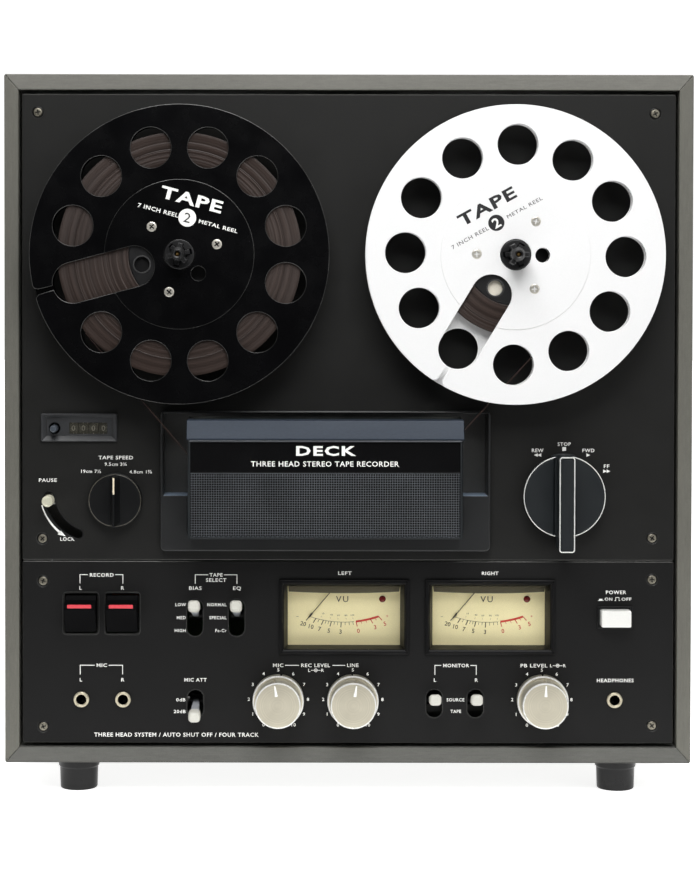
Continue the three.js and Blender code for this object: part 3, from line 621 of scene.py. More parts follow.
# A paler metal for panel, trim and slot bevels: a painted highlight along their edges, which the lamps also
# catch.
finish("panel_bevel_painted_highlight", (72, 72, 70), 0.4, 0.6, speckle=(900, 0.2), cloud=(40, 0.25))
finish("screw_nickel", (206, 202, 192), 0.3, 0.6, cloud=(300, 0.1))
finish("cream_plug", (226, 220, 204), 0.5, speckle=(1200, 0.05))
finish("button_cream", (214, 212, 190), 0.3, 0.3, cloud=(300, 0.08))
finish("button_grey", (64, 70, 78), 0.35, speckle=(900, 0.1))
finish("knob_black", (10, 11, 12), 0.42, speckle=(1500, 0.12), relief=(1500, 0.012),
       Specular_IOR_Level=0.3)
finish("key_black", (7, 7, 8), 0.6, speckle=(1200, 0.15), relief=(900, 0.01),
       Specular_IOR_Level=0.04)
finish("lever_cream", (200, 199, 190), 0.4, speckle=(900, 0.02), relief=(700, 0.006))
finish("lever_grey", (150, 153, 158), 0.4, speckle=(900, 0.03), relief=(700, 0.006))
finish("bore_black", (6, 6, 6), 0.8, speckle=(1200, 0.2), Specular_IOR_Level=0.04)
finish("foot_gloss", (8, 8, 9), 0.3, speckle=(900, 0.2), relief=(500, 0.02),
       Specular_IOR_Level=0.3)
finish("bezel_black", (9, 9, 10), 0.42, speckle=(1500, 0.12), relief=(1200, 0.012),
       Specular_IOR_Level=0.16)
finish("warm_nickel", (206, 198, 174), 0.32, 0.7, cloud=(300, 0.1), relief=(900, 0.01))
clear("haze", 0.3, (74, 72, 64))
finish("bezel_grey", (44, 45, 47), 0.45, speckle=(1500, 0.1), relief=(1200, 0.012))
finish("pointer_cream", (238, 226, 196), 0.5, speckle=(1800, 0.06))
finish("counter_grey", (196, 192, 176), 0.6, speckle=(2200, 0.1))
finish("drum", (74, 71, 60), 0.5, speckle=(1500, 0.1))
finish("print_black", (24, 24, 26), 0.5, speckle=(2600, 0.1))
clear("glass", 0.015, (20, 22, 22))


# ---- Pieces ----------------------------------------------------------------------------------------------


def piece(name, shapes, material, body="root", replaces=(), origin=(0, 0), sharp=38, painted_bevel_highlight=None):
    """Makes a mesh object from shapes and rides it on a CAD body. Its bevels can take a second, paler and
    shinier finish: a painted highlight along the edges, which the lamps also catch.
    """
    bm = bmesh.new()
    verts, faces = merge(*shapes)
    made = [bm.verts.new(v) for v in verts]
    for face in faces:
        if len(set(face)) > 2:
            try:
                bm.faces.new([made[i] for i in face])
            except ValueError:  # the face is there already
                pass
    bmesh.ops.remove_doubles(bm, verts=bm.verts, dist=0.0008)
    loose = [v for v in bm.verts if not v.link_faces]
    bmesh.ops.delete(bm, geom=loose, context="VERTS")
    bmesh.ops.recalc_face_normals(bm, faces=bm.faces)
    mesh = bpy.data.meshes.new(name)
    bm.to_mesh(mesh)
    bm.free()
    home = Vector((origin[0], origin[1], 0))
    mesh.transform(TO_FRAME.to_3x3().to_4x4() @ Matrix.Translation(-home))
    mesh.shade_smooth()
    mesh.set_sharp_from_angle(angle=math.radians(sharp))
    mesh.materials.append(MATERIALS[material])
    # Faces that lean between front and side, the bevels, take the paler finish: a painted edge highlight.
    if painted_bevel_highlight:
        mesh.materials.append(MATERIALS[painted_bevel_highlight])
        for polygon in mesh.polygons:
            polygon.material_index = int(0.15 < abs(polygon.normal.y) < 0.97)
    obj = bpy.data.objects.new(name, mesh)
    bpy.context.scene.collection.objects.link(obj)
    obj.location = TO_FRAME @ home
    weighted = obj.modifiers.new("normals", "WEIGHTED_NORMAL")
    weighted.keep_sharp = True
    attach(obj, body)
    if replaces:
        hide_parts(*replaces)
    return obj


SCREW_DEPTH = 1.6


def cross(radius, width):
    """The outline of a cross-shaped driver recess."""
    a, b = radius, width / 2
    return points((a, -b), (a, b), (b, b), (b, a), (-b, a), (-b, b), (-a, b), (-a, -b),
                  (-b, -b), (-b, -a), (b, -a), (b, -b))


def screw(x, z, radius, front, turn=0):
    """A low domed screw head, open where its cross recess is."""
    recess = cross(radius * 0.56, radius * 0.26)
    head = plate(circle(0, 0, radius, 28), front - SCREW_DEPTH, front, [recess], edge=radius * 0.28, rim=0.08,
                 steps=3)
    return spun(head, turn, x, z)


def screw_floor(x, z, radius, front):
    """A black disc at the bottom of a screw's recess: painted shade."""
    disc = circle(0, 0, radius * 0.7, 20)
    return moved(plate(disc, front - SCREW_DEPTH + 0.1, front - radius * 0.32, edge=0.05), x, z)


# ---- Cabinet, back and feet ------------------------------------------------------------------------------


def cabinet():
    inner, floor, ceiling = HALF - SIDE, FLOOR_Z + BOARD, TOP_Z - BOARD
    # The top and bottom boards take the vinyl copies with painted light and painted shade.
    for side, vinyl, *corners in (
        ("top", "vinyl_top_painted_lighter", (-HALF, TOP_Z), (HALF, TOP_Z), (inner, ceiling), (-inner, ceiling)),
        ("bottom", "vinyl_bottom_painted_darker", (-HALF, FLOOR_Z), (HALF, FLOOR_Z), (inner, floor), (-inner, floor)),
        ("left", "vinyl_upright", (-HALF, FLOOR_Z), (-inner, floor), (-inner, ceiling), (-HALF, TOP_Z)),
        ("right", "vinyl_upright", (HALF, FLOOR_Z), (inner, floor), (inner, ceiling), (HALF, TOP_Z)),
    ):
        outline = fillet(anticlockwise(points(*corners)), 0.35, 3)
        shape = plate(outline, BACK_H, 2, edge=0.5, steps=3, both=True)
        piece(f"cabinet_{side}", [shape], vinyl, replaces=["cabinet_shell"])


def back_cover():
    inner, floor, ceiling = HALF - SIDE - 1, FLOOR_Z + BOARD + 1, TOP_Z - BOARD - 1
    holes = [stadium(x, z, 110, 5) for x in (-95, 95) for z in range(210, 371, 16)]
    holes += [rect(-25, 85, 55, 105), centred(-135, 74, 32, 24)]
    outline = round_rect(-inner, inner, floor, ceiling, 2)
    shape = plate(outline, BACK_FACE, BACK_FACE + 3, holes, edge=0.5, rim=0.3, both=True)
    piece("back_cover", [shape], "pressed_board", replaces=["back_cover"])
    heights = (floor + 9, (floor + ceiling) / 2, ceiling - 9)
    places = [(x, z, 3.6) for x in (-inner + 9, 0, inner - 9) for z in heights]
    places += [(-20.5, 62, 2.4), (80.5, 98, 2.4)]
    heads = [about_face(screw(-x, z, radius, 1.3, turn=x + z), BACK_FACE) for x, z, radius in places]
    piece("back_cover_screws", heads, "nickel")
    # Black discs in the screw recesses: painted shade.
    recesses = [about_face(screw_floor(-x, z, radius, 1.3), BACK_FACE) for x, z, radius in places]
    piece("back_cover_screw_painted_shade", recesses, "black")


def about_face(shape, h):
    """A shape drawn for the front, turned to face the back from the plane at h. Its x changes sign."""
    return [(-v[0], v[1], h - v[2]) for v in shape[0]], shape[1]


def feet():
    hollow = [(0, 0.2), (3, 0.2), (3, 0), (11.3, 0), (11.7, 13), (12.5, 14), (12.5, 18.6), (0, 18.6)]
    rubber = [(3, 8), *softened(hollow, 0.9)[1:]]
    head = [(0, 7.6), (2.9, 7.6), (2.9, 6.6), (1.6, 6), (0, 6)]
    for side, x in (("left", -164.4), ("right", 164.4)):
        for end, depth in (("front", 18), ("rear", 140)):
            name = f"foot_{end}_{side}"
            foot = standing(lathe(rubber, x, depth))
            piece(name, [foot], "foot_gloss", replaces=[name])
            piece(f"{name}_screw", [standing(lathe(head, x, depth, 24))], "nickel")


# ---- Panels ----------------------------------------------------------------------------------------------


def pause_slot(half):
    """The curved slot that the pause button travels along. Half is half its width."""
    x, z = PAUSE
    first, last = polar(x, z, PAUSE_REACH, 187), polar(x, z, PAUSE_REACH, 248)
    return (arc(x, z, PAUSE_REACH + half, 187, 248, 16) + arc(last.x, last.y, half, 248, 428, 8)[1:-1]
            + arc(x, z, PAUSE_REACH - half, 248, 187, 16) + arc(first.x, first.y, half, 7, 187, 8)[1:-1])


def panels():
    bores = [circle(x, z, 3.5, 28) for x, z in SCREWS]
    x0, x1, z0, z1 = HOUSING
    upper = [circle(reel["x"], reel["z"], 10, 40) for reel in (SUPPLY, TAKE_UP)]
    upper += [rect(x0 + 0.6, x1 - 0.6, z0 + 0.6, z1 - 0.6), circle(*FUNCTION, 5, 24), circle(*SPEED, 4.2, 24)]
    upper += [rect(-182, -142.6, 215.1, 228.3), pause_slot(2.9), *bores[:4]]
    lower = [centred(x, KEY_Z, 19.8, 23.8) for x in KEYS.values()]
    lower += [stadium(x, z, 9.8, slot) for x, z, slot, _ in LEVERS.values()]
    lower += [circle(x, LEVEL_Z, 5.8, 28) for x, _, _ in LEVELS.values()]
    lower += [circle(x, JACK_Z, 4.5, 28) for x in JACKS.values()]
    lower += [centred(x, METER_Z, 75.3, 42.3) for x in METERS.values()]
    lower += [centred(POWER[0], POWER[1], 18.5, 11), *bores[4:]]
    for name, bottom, top, holes, paint in (
        ("deck_panel", SEAM_Z + 0.2, PANEL_TOP, upper, "deck_paint"),
        ("control_panel", PANEL_BOTTOM, SEAM_Z - 0.2, lower, "control_paint_painted_darker"),
    ):
        outline = round_rect(-PANEL_HALF, PANEL_HALF, bottom, top, 1.2)
        shape = plate(outline, -2, 0, holes, edge=0.8, rim=0.25, steps=4)
        # The bevels take the paler finish: a painted highlight along the panels' edges.
        piece(name, [shape], paint, replaces=[name], painted_bevel_highlight="panel_bevel_painted_highlight")

    cup = [(3.4, -1.9), (3.4, -0.1), (3.0, 0.1), (2.75, -0.6), (2.75, -1.9)]
    cups = [lathe(cup, x, z, 28, closed=True) for x, z in SCREWS]
    piece("panel_screw_cups", cups, "black")
    heads = [screw(x, z, 2.7, 0.35, turn=17 * i + 8) for i, (x, z) in enumerate(SCREWS)]
    piece("panel_screws", heads, "aged_nickel")
    # Black discs in the screw recesses: painted shade.
    recesses = [screw_floor(x, z, 2.7, 0.35) for x, z in SCREWS]
    piece("panel_screw_painted_shade", recesses, "black")


# ---- Reels -----------------------------------------------------------------------------------------------


def slotted(radius, length=None):
    """A round outline cut by the threading slot, and by the slit to the rim unless length stops it."""
    if length:
        half = math.degrees(math.asin(HOLE_R / length))
        return arc(0, 0, length, half, 360 - half, 96) + arc(SLOT_END, 0, HOLE_R, -90, -270, 20)
    rim = math.degrees(math.asin(4 / radius))
    mouth = math.degrees(math.asin(1.3 / HOLE_R))
    flare = points((radius - 0.9, -2.5), (radius - 2.6, -1.5))
    return (arc(0, 0, radius, rim, 360 - rim, 128) + flare + points((radius - 8, -1.3))
            + arc(HOLE_CIRCLE, 0, HOLE_R, -mouth, -90, 10) + arc(SLOT_END, 0, HOLE_R, -90, -270, 20)
            + arc(HOLE_CIRCLE, 0, HOLE_R, -270, mouth - 360, 10) + points((radius - 8, 1.3))
            + [Vector((p.x, -p.y)) for p in reversed(flare)])


def winding(inner, outer, seed):
    """The face of a tape pack, whose turns stand a little proud or low."""
    draw = random.Random(seed)
    profile, radius = [(inner, 13.0), (outer, 13.0), (outer, 19.05)], outer
    while radius > inner + 1:
        radius -= draw.uniform(0.35, 1.1)
        height = 19.18 + draw.uniform(-0.1, 0.1)
        profile += [(radius + 0.12, height), (max(radius, inner + 0.2), height)]
    return lathe(profile + [(inner, 19.1)], sides=120, closed=True)


def reel(x, z, slot, pack, side, text):
    """Flanges, hub, tape, spindle and spindle lock of one reel, drawn with the slot along x."""
    # The black reel's bevels take a pale metal finish: a painted highlight.
    colour, painted_bevel_highlight, plug_colour = {
        "left": ("reel_black", "reel_bevel_painted_highlight", "black"),
        "right": ("reel_white", None, "cream_plug"),
    }[side]

    def add(name, shapes, material, body=f"{side}_reel", cad=True, painted_bevel_highlight=None):
        """Sets shapes down at the reel, in place of the CAD piece of the same name where there is one."""
        name, set_down = f"{side}_{name}", [spun(shape, slot, x, z) for shape in shapes]
        piece(name, set_down, material, body, [name] if cad else (), (x, z), painted_bevel_highlight=painted_bevel_highlight)

    round_holes = [circle(*polar(0, 0, HOLE_CIRCLE, 30 * k), HOLE_R, 48) for k in range(12)]
    lug = polar(0, 0, 16, 120)
    lug_hole = circle(*lug, 4.35, 32)
    front = plate(slotted(REEL_R), 19.8, 21, [circle(0, 0, 9.25), lug_hole, *round_holes[1:]],
                  edge=0.3, rim=0.25, steps=3, both=True)
    raised = plate(slotted(REEL_R, 44.5), 20.9, 21.4, [circle(0, 0, 9.3), circle(*lug, 4.4, 32)],
                   edge=0.3, rim=0.15)
    add("reel_front_flange", [front, raised], colour, painted_bevel_highlight=painted_bevel_highlight)
    rear = plate(circle(0, 0, REEL_R, 128), 11.4, 12.6, [circle(0, 0, 9.25), lug_hole, *round_holes],
                 edge=0.3, rim=0.25, both=True)
    add("reel_rear_flange", [rear], colour)

    core_holes = [circle(23, 0, 5, 32), circle(0, 0, 8.7), circle(*lug, 4.8, 32)]
    core = plate(circle(0, 0, 30, 96), 12.9, 19.5, core_holes, edge=0.4)
    sixth = Matrix.Rotation(math.radians(60), 3, "Z")
    bore = [(sixth @ p.to_3d()).to_2d() for p in spline_outline(4.6, 7.5, 3.4)]
    boss = plate(circle(0, 0, 8.9, 56), 13, 21.8, [bore], edge=0.5, steps=3)
    add("reel_hub", [core, boss], "hub_black")
    collar = lathe([(4.6, 19.9), (5.4, 19.9), (5.4, 18.9), (4.6, 18.9)], sides=40, closed=True)
    add("reel_collar", [moved(collar, 23)], "dark_metal", cad=False)
    add("tape_pack", [winding(30.3, pack, side)], "tape")

    places = [polar(0, 0, 23.1, a) for a in (60, 180, 300)]
    heads = [screw(p.x, p.y, 3.1, 21.9, turn=p.x * 3) for p in places]
    add("reel_screws", heads, "screw_nickel", cad=False)
    # Black discs in the screw recesses: painted shade.
    recesses = [screw_floor(p.x, p.y, 3.1, 21.9) for p in places]
    add("reel_screw_painted_shade", recesses, "black", cad=False)
    add("reel_plug", [rod(4.4, 16, 17.2, 23, 0, 32)], plug_colour, cad=False)

    profile = [(0, 11.1), (27, 11.1), (28, 10), (28, 7), (8.5, 6), (8.5, -8), (22, -8), (22, -16), (6, -17),
               (6, -42), (0, -42)]
    table = lathe(softened(profile, 0.5), sides=72)
    ribs = spun(plate(spline_outline(3.9, 6.5, 2.8), 10.5, 24, edge=0.3), 60)
    add("reel_table", [table, ribs], "hub_black")

    wings = plate(spline_outline(4.1, 6.5, 2.8), 24.3, 37.5, edge=0.6, steps=3)
    profile = [(0, 36.4), (1.5, 36.6), (1.7, 40.6), (2.5, 41), (4.0, 38.6), (4.1, 30), (0, 30)]
    nose, lock = lathe(softened(profile, 0.3), sides=40), f"{side}_spindle_lock"
    add("spindle_lock", [wings, nose], "hub_black", lock)
    pin = lathe([(0, 38.8), (0.7, 38.8), (1.3, 38.3), (1.3, 37), (0, 37)], sides=24)
    add("spindle_pin", [pin], "brass", lock, cad=False)
    reel_print(side, x, z, text)


def reel_print(side, x, z, turn):
    dark, light, disc_r, small, number_bold = {
        "left": ("print_white", "print_black", 5.3, 0.022, 0),
        "right": ("print_black", "print_white", 4.8, 0, 0.02),
    }[side]
    lettering = [
        letters("TAPE", -1.2, 33.2, 6.7, bold=0.03, wide=1.56, spacing=1.1, h=21.4),
        letters("7 INCH REEL", -18.9, 21.9, 2.3, bold=small, wide=1.18, h=21.4),
        letters("METAL REEL", 17.9, 22, 2.1, bold=small, wide=1.3, h=21.4),
        moved(rod(disc_r, INK, 0, -1, 22.1), h=21.4),
    ]
    number = letters("2", -1, 22.1, 5.6, bold=number_bold, h=21.46)
    for name, shapes, ink in (("print", lettering, dark), ("number", [number], light)):
        set_down = [spun(shape, turn, x, z) for shape in shapes]
        piece(f"{side}_reel_{name}", set_down, ink, f"{side}_reel")


# ---- Tape path -------------------------------------------------------------------------------------------


def head_block():
    base = plate(round_rect(-90, 60, 160, 218, 3), -8, -5, [circle(*CAPSTAN, 4, 24)], edge=0.4)
    posts = [rod(3, -29.7, -7, x, z, 24) for x in (-84, 52) for z in (166, 212)]
    heads, gaps = [], []
    for x in (-58, -32, -6):
        heads.append(plate(round_rect(x - 8, x + 8, 184.6, 205, 3, 6), -5.5, 21, edge=0.6, steps=3))
        gaps.append(block(x - 4.5, x + 4.5, 198, 205.6, 8, 18, 0.4))
    spool = [(0, -5.5), (3.2, -5.5), (3.2, 11.4), (5.9, 11.4), (5.9, 12.6), (4.8, 13), (4.8, 19.3),
             (5.9, 19.7), (5.9, 20.9), (2.4, 22), (0, 22)]
    guides = [lathe(softened(spool, 0.3), x, 189.2, 40) for x in (-74.7, 32.6)]
    piece("head_block", [base, *posts, *heads], "steel", replaces=["head_block"])
    piece("tape_guides", guides, "nickel")
    piece("head_shields", gaps, "black")


def capstan_and_pinch():
    profile = [(0, 22), (2.2, 22), (3, 21.2), (3, -36), (38, -37), (40, -38), (40, -49), (6, -50), (0, -50)]
    shaft = lathe(softened(profile, 0.5), *CAPSTAN, 72)
    piece("capstan_flywheel", [shaft], "spun_aluminium", "capstan_flywheel",
          ["capstan_flywheel"], CAPSTAN)
    profile = [(0, -52), (50, -52), (50, -55), (35, -55), (34, -96), (0, -98)]
    can = lathe(softened(profile, 1.2), *CAPSTAN, 56)
    posts = [rod(3, -53, -32.8, *polar(*CAPSTAN, 46, a), 20) for a in (90, 210, 330)]
    piece("capstan_motor", [can, *posts], "steel", replaces=["capstan_motor"])

    reach = Vector(PINCH_ROLLER) - Vector(PINCH_PIVOT)
    square = math.degrees(math.atan2(reach.y, reach.x)) + 90
    outline = (arc(*PINCH_PIVOT, 4.5, square + 180, square + 360, 10)
               + arc(*PINCH_ROLLER, 4.5, square, square + 180, 10))
    arm = plate(outline, 6.5, 9.5, edge=0.5, both=True)
    pivot = lathe([(0, 10.2), (2.6, 10.2), (3, 9.6), (3, -4.7), (0, -4.7)], *PINCH_PIVOT, 32)
    axle = lathe([(0, 22.5), (1.5, 22.5), (2, 22), (2, 7), (0, 7)], *PINCH_ROLLER, 28)
    piece("pinch_arm", [arm, pivot, axle], "steel", "pinch_arm", ["pinch_arm"])
    profile = softened([(2.3, 21), (8, 21), (8, 11), (2.3, 11), (2.3, 21)], 0.6)[:-1]
    tyre = lathe(profile, *PINCH_ROLLER, 48, closed=True)
    piece("pinch_roller", [tyre], "rubber", "pinch_roller", ["pinch_roller"], PINCH_ROLLER)


def head_housing():
    """A moulded surround: solid below the ledge, sunk deep above it, and open right through for the cover."""
    x0, x1, z0, z1 = HOUSING
    px0, px1, pz0, pz1 = POCKET

    def opening(wall):
        sunk = points((px0, pz0), (px1, pz0), (px1, LEDGE_Z), (x1 - wall, LEDGE_Z), (x1 - wall, z1 - wall),
                      (x0 + wall, z1 - wall), (x0 + wall, LEDGE_Z), (px0, LEDGE_Z))
        return fillet(sunk, 0.5, 3)

    rim = plate(round_rect(x0, x1, z0, z1, 3, 6), 0.3, 5.5, [opening(1.4)], edge=0.9, rim=0.4, steps=4)
    inside = rect(x0 + 0.8, x1 - 0.8, z0 + 0.8, z1 - 0.8)
    walls = plate(inside, -18, 1, [opening(1.4)], edge=0.1)
    floor = plate(inset(inside, 0.2), -18, -16.5, [rect(px0, px1, pz0, pz1)], edge=0.1)
    # The rim's bevels take the paler finish: a painted highlight.
    piece("head_housing", [rim], "housing_black", replaces=["head_housing"],
          painted_bevel_highlight="housing_bevel_painted_highlight")
    # The recess walls and floor are paler than the housing: painted light.
    piece("head_housing_recess", [walls, floor], "recess_painted_light")
    # Pale ledge strips: painted light.
    ledges = [block(a, b, LEDGE_Z - 0.8, LEDGE_Z + 0.05, -16, 5.2, 0.2) for a, b in
              ((x0 + 1.6, px0 - 0.2), (px1 + 0.2, x1 - 1.6))]
    piece("head_housing_ledges", ledges, "ledge_painted_light")


def woven(x0, x1, z0, z1, pitch, radius, h):
    """A plain weave of thin wires: each passes over and under the ones that cross it."""
    shapes, lift = [], radius * 1.4
    columns, rows = round((x1 - x0) / pitch), round((z1 - z0) / pitch)
    for i in range(columns + 1):
        x = x0 + i * (x1 - x0) / columns
        path = [(x, z0 + k * (z1 - z0) / rows, h + lift * (1 if (i + k) % 2 else -1))
                for k in range(rows + 1)]
        shapes.append(tube(path, radius, flat="x"))
    for k in range(rows + 1):
        z = z0 + k * (z1 - z0) / rows
        path = [(x0 + i * (x1 - x0) / columns, z, h - lift * (1 if (i + k) % 2 else -1))
                for i in range(columns + 1)]
        shapes.append(tube(path, radius, flat="z"))
    return merge(*shapes)


def head_cover():
    x0, x1, z0, z1 = COVER
    body, slot = "head_cover", "cover_grey"
    left, right = x0 + 0.7, x1 - 0.7
    face = plate(fillet(rect(left, right, z0, BROW_Z - 0.2), 0.5, 3), 26, COVER_FRONT,
                 [rect(left + 0.6, right - 0.6, z0 + 0.9, 214.6)], edge=0.2, rim=0.15)
    notch_z = 182
    left_side = points((28, z0), (28, BROW_Z), (23.6, z1 - 1), (1, z1 - 1), (1, 223.5), (21.5, 223.5),
                       (21.5, notch_z), (1, notch_z), (1, z0))
    right_side = points((28, z0), (28, BROW_Z), (23.6, z1 - 1), (21.5, z1 - 1), (21.5, notch_z), (1, notch_z),
                        (1, z0))
    sill = points((1, z0), (26.4, z0), (26.4, z0 + 2), (1, z0 + 2))
    sides = [across(plate(outline, start, stop, edge=0.2)) for outline, start, stop in
             ((left_side, left, left + 1.5), (right_side, right - 1.5, right), (sill, left + 1, right - 1))]
    piece("head_cover_frame", [face, *sides], "satin_black", body, ["head_cover"])

    crest = points((28.1, BROW_Z - 0.1), (28.1, BROW_Z + 0.8), (24.9, z1 + 0.7), (23.7, z1 + 1.2),
                   (12, z1 + 1.2), (10, z1), (1, z1), (1, z1 - 2), (22.6, z1 - 2), (26.2, BROW_Z - 0.1))
    crest = across(plate(fillet(anticlockwise(crest), 0.35, 3), x0, x1, edge=0.35, steps=3, both=True))
    piece("head_cover_brow", [crest], "brow", body, sharp=30)
    # The pale strip along the band's top edge is a painted highlight.
    lip = block(left + 0.6, right - 0.6, 215.1, 215.5, 27.9, 28.15, 0.1)
    piece("head_cover_lip", [lip], "lip_painted_highlight", body)
    band = plate(round_rect(left + 1, right - 1, BAND_Z, 214.5, 0.3), 24.6, 27.1, edge=0.35)
    piece("head_cover_band", [band], "gloss_black", body)
    backing = plate(rect(left + 1, right - 1, z0 + 1, BAND_Z), 24.2, 25.2, edge=0.1)
    piece("grille_backing", [backing], "black", body)
    mesh = woven(left + 0.9, right - 0.9, z0 + 1.3, BAND_Z - 0.5, 1.45, 0.18, 26.3)
    piece("grille_mesh", [mesh], "wire", body, sharp=80)
    title = [
        letters("DECK", -14.3, 209.5, 5.3, bold=0.03, wide=1.6, spacing=1.14, h=27.1),
        letters("THREE HEAD STEREO TAPE RECORDER", -14.3, 201.8, 2.95, bold=0.012, wide=1.06, spacing=1.1,
                h=27.1),
    ]
    piece("head_cover_print", title, "print_white", body)


# ---- Transport controls ----------------------------------------------------------------------------------


def function_knob():
    x, z = FUNCTION
    name = "function_knob"
    left = plate(arc(0, 0, 24.4, 104, 256, 40), 3.5, 9.6, edge=1.2, steps=4)
    right = plate(arc(0, 0, 24.4, -75, 77.5, 40), 3.5, 9.6, edge=1.2, steps=4)
    middle = plate([*arc(0, 0, 24.4, 256, 285, 8), *arc(0, 0, 24.4, 77.5, 104, 8)], 3.5, 8.8, edge=0.4)
    tab = plate(arc(0, 0, 25.4, 74, 107, 10) + arc(0, 0, 20, 107, 74, 10), 1.6, 4.4, edge=0.5)
    shaft = rod(4, -16, 4, sides=32)
    shape = round_rect(-4.6, 4.6, -31.8, 24.3, 1.4, 5)
    bowed = [Vector((p.x, p.y + (1 - (p.x / 4.6) ** 2) * (0.7 if p.y > 0 else -0.5))) for p in shape]
    grip = stack((bowed, 0, 2.5), (bowed, 0, 22.9), (bowed, 0.95, 23.35))
    piece(name, [moved(s, x, z) for s in (left, right, middle, tab, shaft, grip)], "satin_black", name,
          [name])
    rims = []
    for first, last in ((103.5, 257), (-74.5, 78)):
        outer, inner = arc(0, 0, 24.55, first, last, 56), arc(0, 0, 24, last, first, 56)
        rims.append(plate(outer + inner, 8.8, 9.9, edge=0.2))
    edge = plate(inset(bowed, -0.03), 22.7, 23.7, [inset(bowed, 0.6)], edge=0.2, rim=0.15)
    face = plate(inset(bowed, 1.7), 23.2, 23.62, edge=0.25)
    piece("function_knob_edges", [moved(s, x, z) for s in (*rims, edge)], "silver_trim_and_painted_highlight", name)
    piece("function_knob_inlay", [moved(face, x, z)], "satin_black", name)
    dot = moved(spot(circle(0, 0, 0.85, 20), 4.4), x + 0.2, z + 23.9)
    piece("function_knob_dot", [dot], "print_white", name)


def speed_knob():
    x, z = SPEED
    name = "speed_knob"
    disc = lathe(softened([(0, 6), (15.2, 6), (16.3, 5), (16.3, 1), (3, 1), (3, -15), (0, -15)], 0.4),
                 sides=72)
    base, ridge = round_rect(-3, 3, -15.3, 15.3, 2.5, 6), round_rect(-0.7, 0.7, -15, 15, 0.6, 6)
    fin = stack((base, 0, 5), (base, 0, 6.4), (ridge, 0, 14.6), (ridge, 0.25, 15))
    piece(name, [moved(s, x, z) for s in (disc, fin)], "knob_black", name, [name])
    rim = lathe([(15.2, 5.75), (15.7, 5.8), (15.7, 5.4), (15.2, 5.4)], sides=72, closed=True)
    piece("speed_knob_rim", [moved(rim, x, z)], "aged_nickel", name)
    pointer = block(-0.5, 0.5, 4.4, 14.3, 14.7, 15.12, 0.1)
    piece("speed_knob_pointer", [moved(pointer, x, z)], "pointer_cream", name)


def pause_control():
    profile = [(0, 11.8), (2.3, 11.8), (2.6, 12), (3.1, 12), (3.4, 11.5), (3.4, 8), (2.7, 6.5), (3.4, 4.5),
               (3.4, 3), (0, 3)]
    button = lathe(softened(profile, 0.15), PAUSE_REACH, 0, 40)
    post, pivot = rod(2, -5, 4, PAUSE_REACH, 0, 24), rod(2.2, -29, -3, 0, 0, 24)
    metal = [spun(s, PAUSE_REST, *PAUSE) for s in (button, post, pivot)]
    piece("pause_button", metal, "button_cream", "pause_lever")
    arm = plate(fillet(rect(-5, PAUSE_REACH + 3.5, -3.5, 3.5), 3.4, 6), -6, -4, edge=0.3)
    arm = spun(arm, PAUSE_REST, *PAUSE)
    piece("pause_arm", [arm], "steel", "pause_lever", ["pause_lever"])
    ring = plate(pause_slot(3.5), -1.6, 0.2, [pause_slot(2.7)], edge=0.25, rim=0.15)
    piece("pause_slot_trim", [ring], "black")


def counter():
    x0, x1, z0, z1 = COUNTER
    window = rect(-168.3, -145.6, 217.6, 224.4)
    holes = [window, circle(RESET_X, WHEEL_Z, 3.4, 32)]
    outer = round_rect(x0, x1, z0, z1, 0.8)
    inner = round_rect(x0 + 3.3, x1 - 3.3, z0 + 3.4, z1 - 2.6, 0.4)
    slope = stack((outer, 0, 0), (outer, 0, 1.4), (outer, 0.4, 1.8), (outer, 0.9, 1.8), (inner, 0, -0.4),
                  (inner, 0, -1), closed=True)
    bezel = merge(slope, plate(inset(inner, -0.3), -1.2, -0.45, holes, edge=0.05, rim=0.3))
    neck = plate(rect(x0 + 3.5, x1 - 3.5, z0 + 2.3, z1 - 2), -2.4, -1.15, holes, edge=0.05)
    case = plate(round_rect(x0 + 2, x1 - 2, z0 - 1.6, z1 + 1, 1), -22, -2.3,
                 [rect(-170.3, -144.2, 213, 229), holes[1]], edge=0.5)
    axle = standing_axle(-172, -143, 1, WHEEL_Z, WHEEL_AXIS_H)
    piece("counter_housing", [bezel, neck, case, axle], "bezel_grey",
          replaces=["counter_housing"])
    haze = plate(window, -1.1, -0.75, edge=0.05)
    piece("counter_window", [haze], "haze")
    profile = [(0, 6.6), (1.5, 6.8), (2.1, 6.2), (2.2, 5.4), (2.2, -18), (0, -18)]
    button = lathe(softened(profile, 0.25), RESET_X, WHEEL_Z, 36)
    piece("counter_reset_button", [button], "button_grey", "counter_reset_button",
          ["counter_reset_button"])
    for i, name in enumerate(WHEELS):
        counter_wheel(f"counter_wheel_{name}", WHEEL_X + i * WHEEL_PITCH)


def standing_axle(x0, x1, radius, z, h):
    """A rod along x."""
    axle = rod(radius, x1, x0, sides=20)
    return [(v[2], v[1] + z, v[0] + h) for v in axle[0]], axle[1]


def counter_wheel(name, x):
    profile = softened([(1.4, -2.6), (WHEEL_R, -2.6), (WHEEL_R, 2.6), (1.4, 2.6)], 0.3)
    wheel = lathe(profile, sides=60, closed=True)
    drum = [(v[2] + x, v[1] + WHEEL_Z, v[0] + WHEEL_AXIS_H) for v in wheel[0]], wheel[1]
    piece(name, [drum], "drum", name, [name], (x, WHEEL_Z))
    surface = WHEEL_R + WHEEL_AXIS_H + 0.02
    digits = [tilted(letters(str(n), x, WHEEL_Z, 3.3, bold=0.01, wide=1.0, h=surface), -36 * n, WHEEL_Z,
                     WHEEL_AXIS_H) for n in range(10)]
    piece(name + "_digits", digits, "counter_grey", name)


# ---- Recording controls, levers and level knobs ----------------------------------------------------------


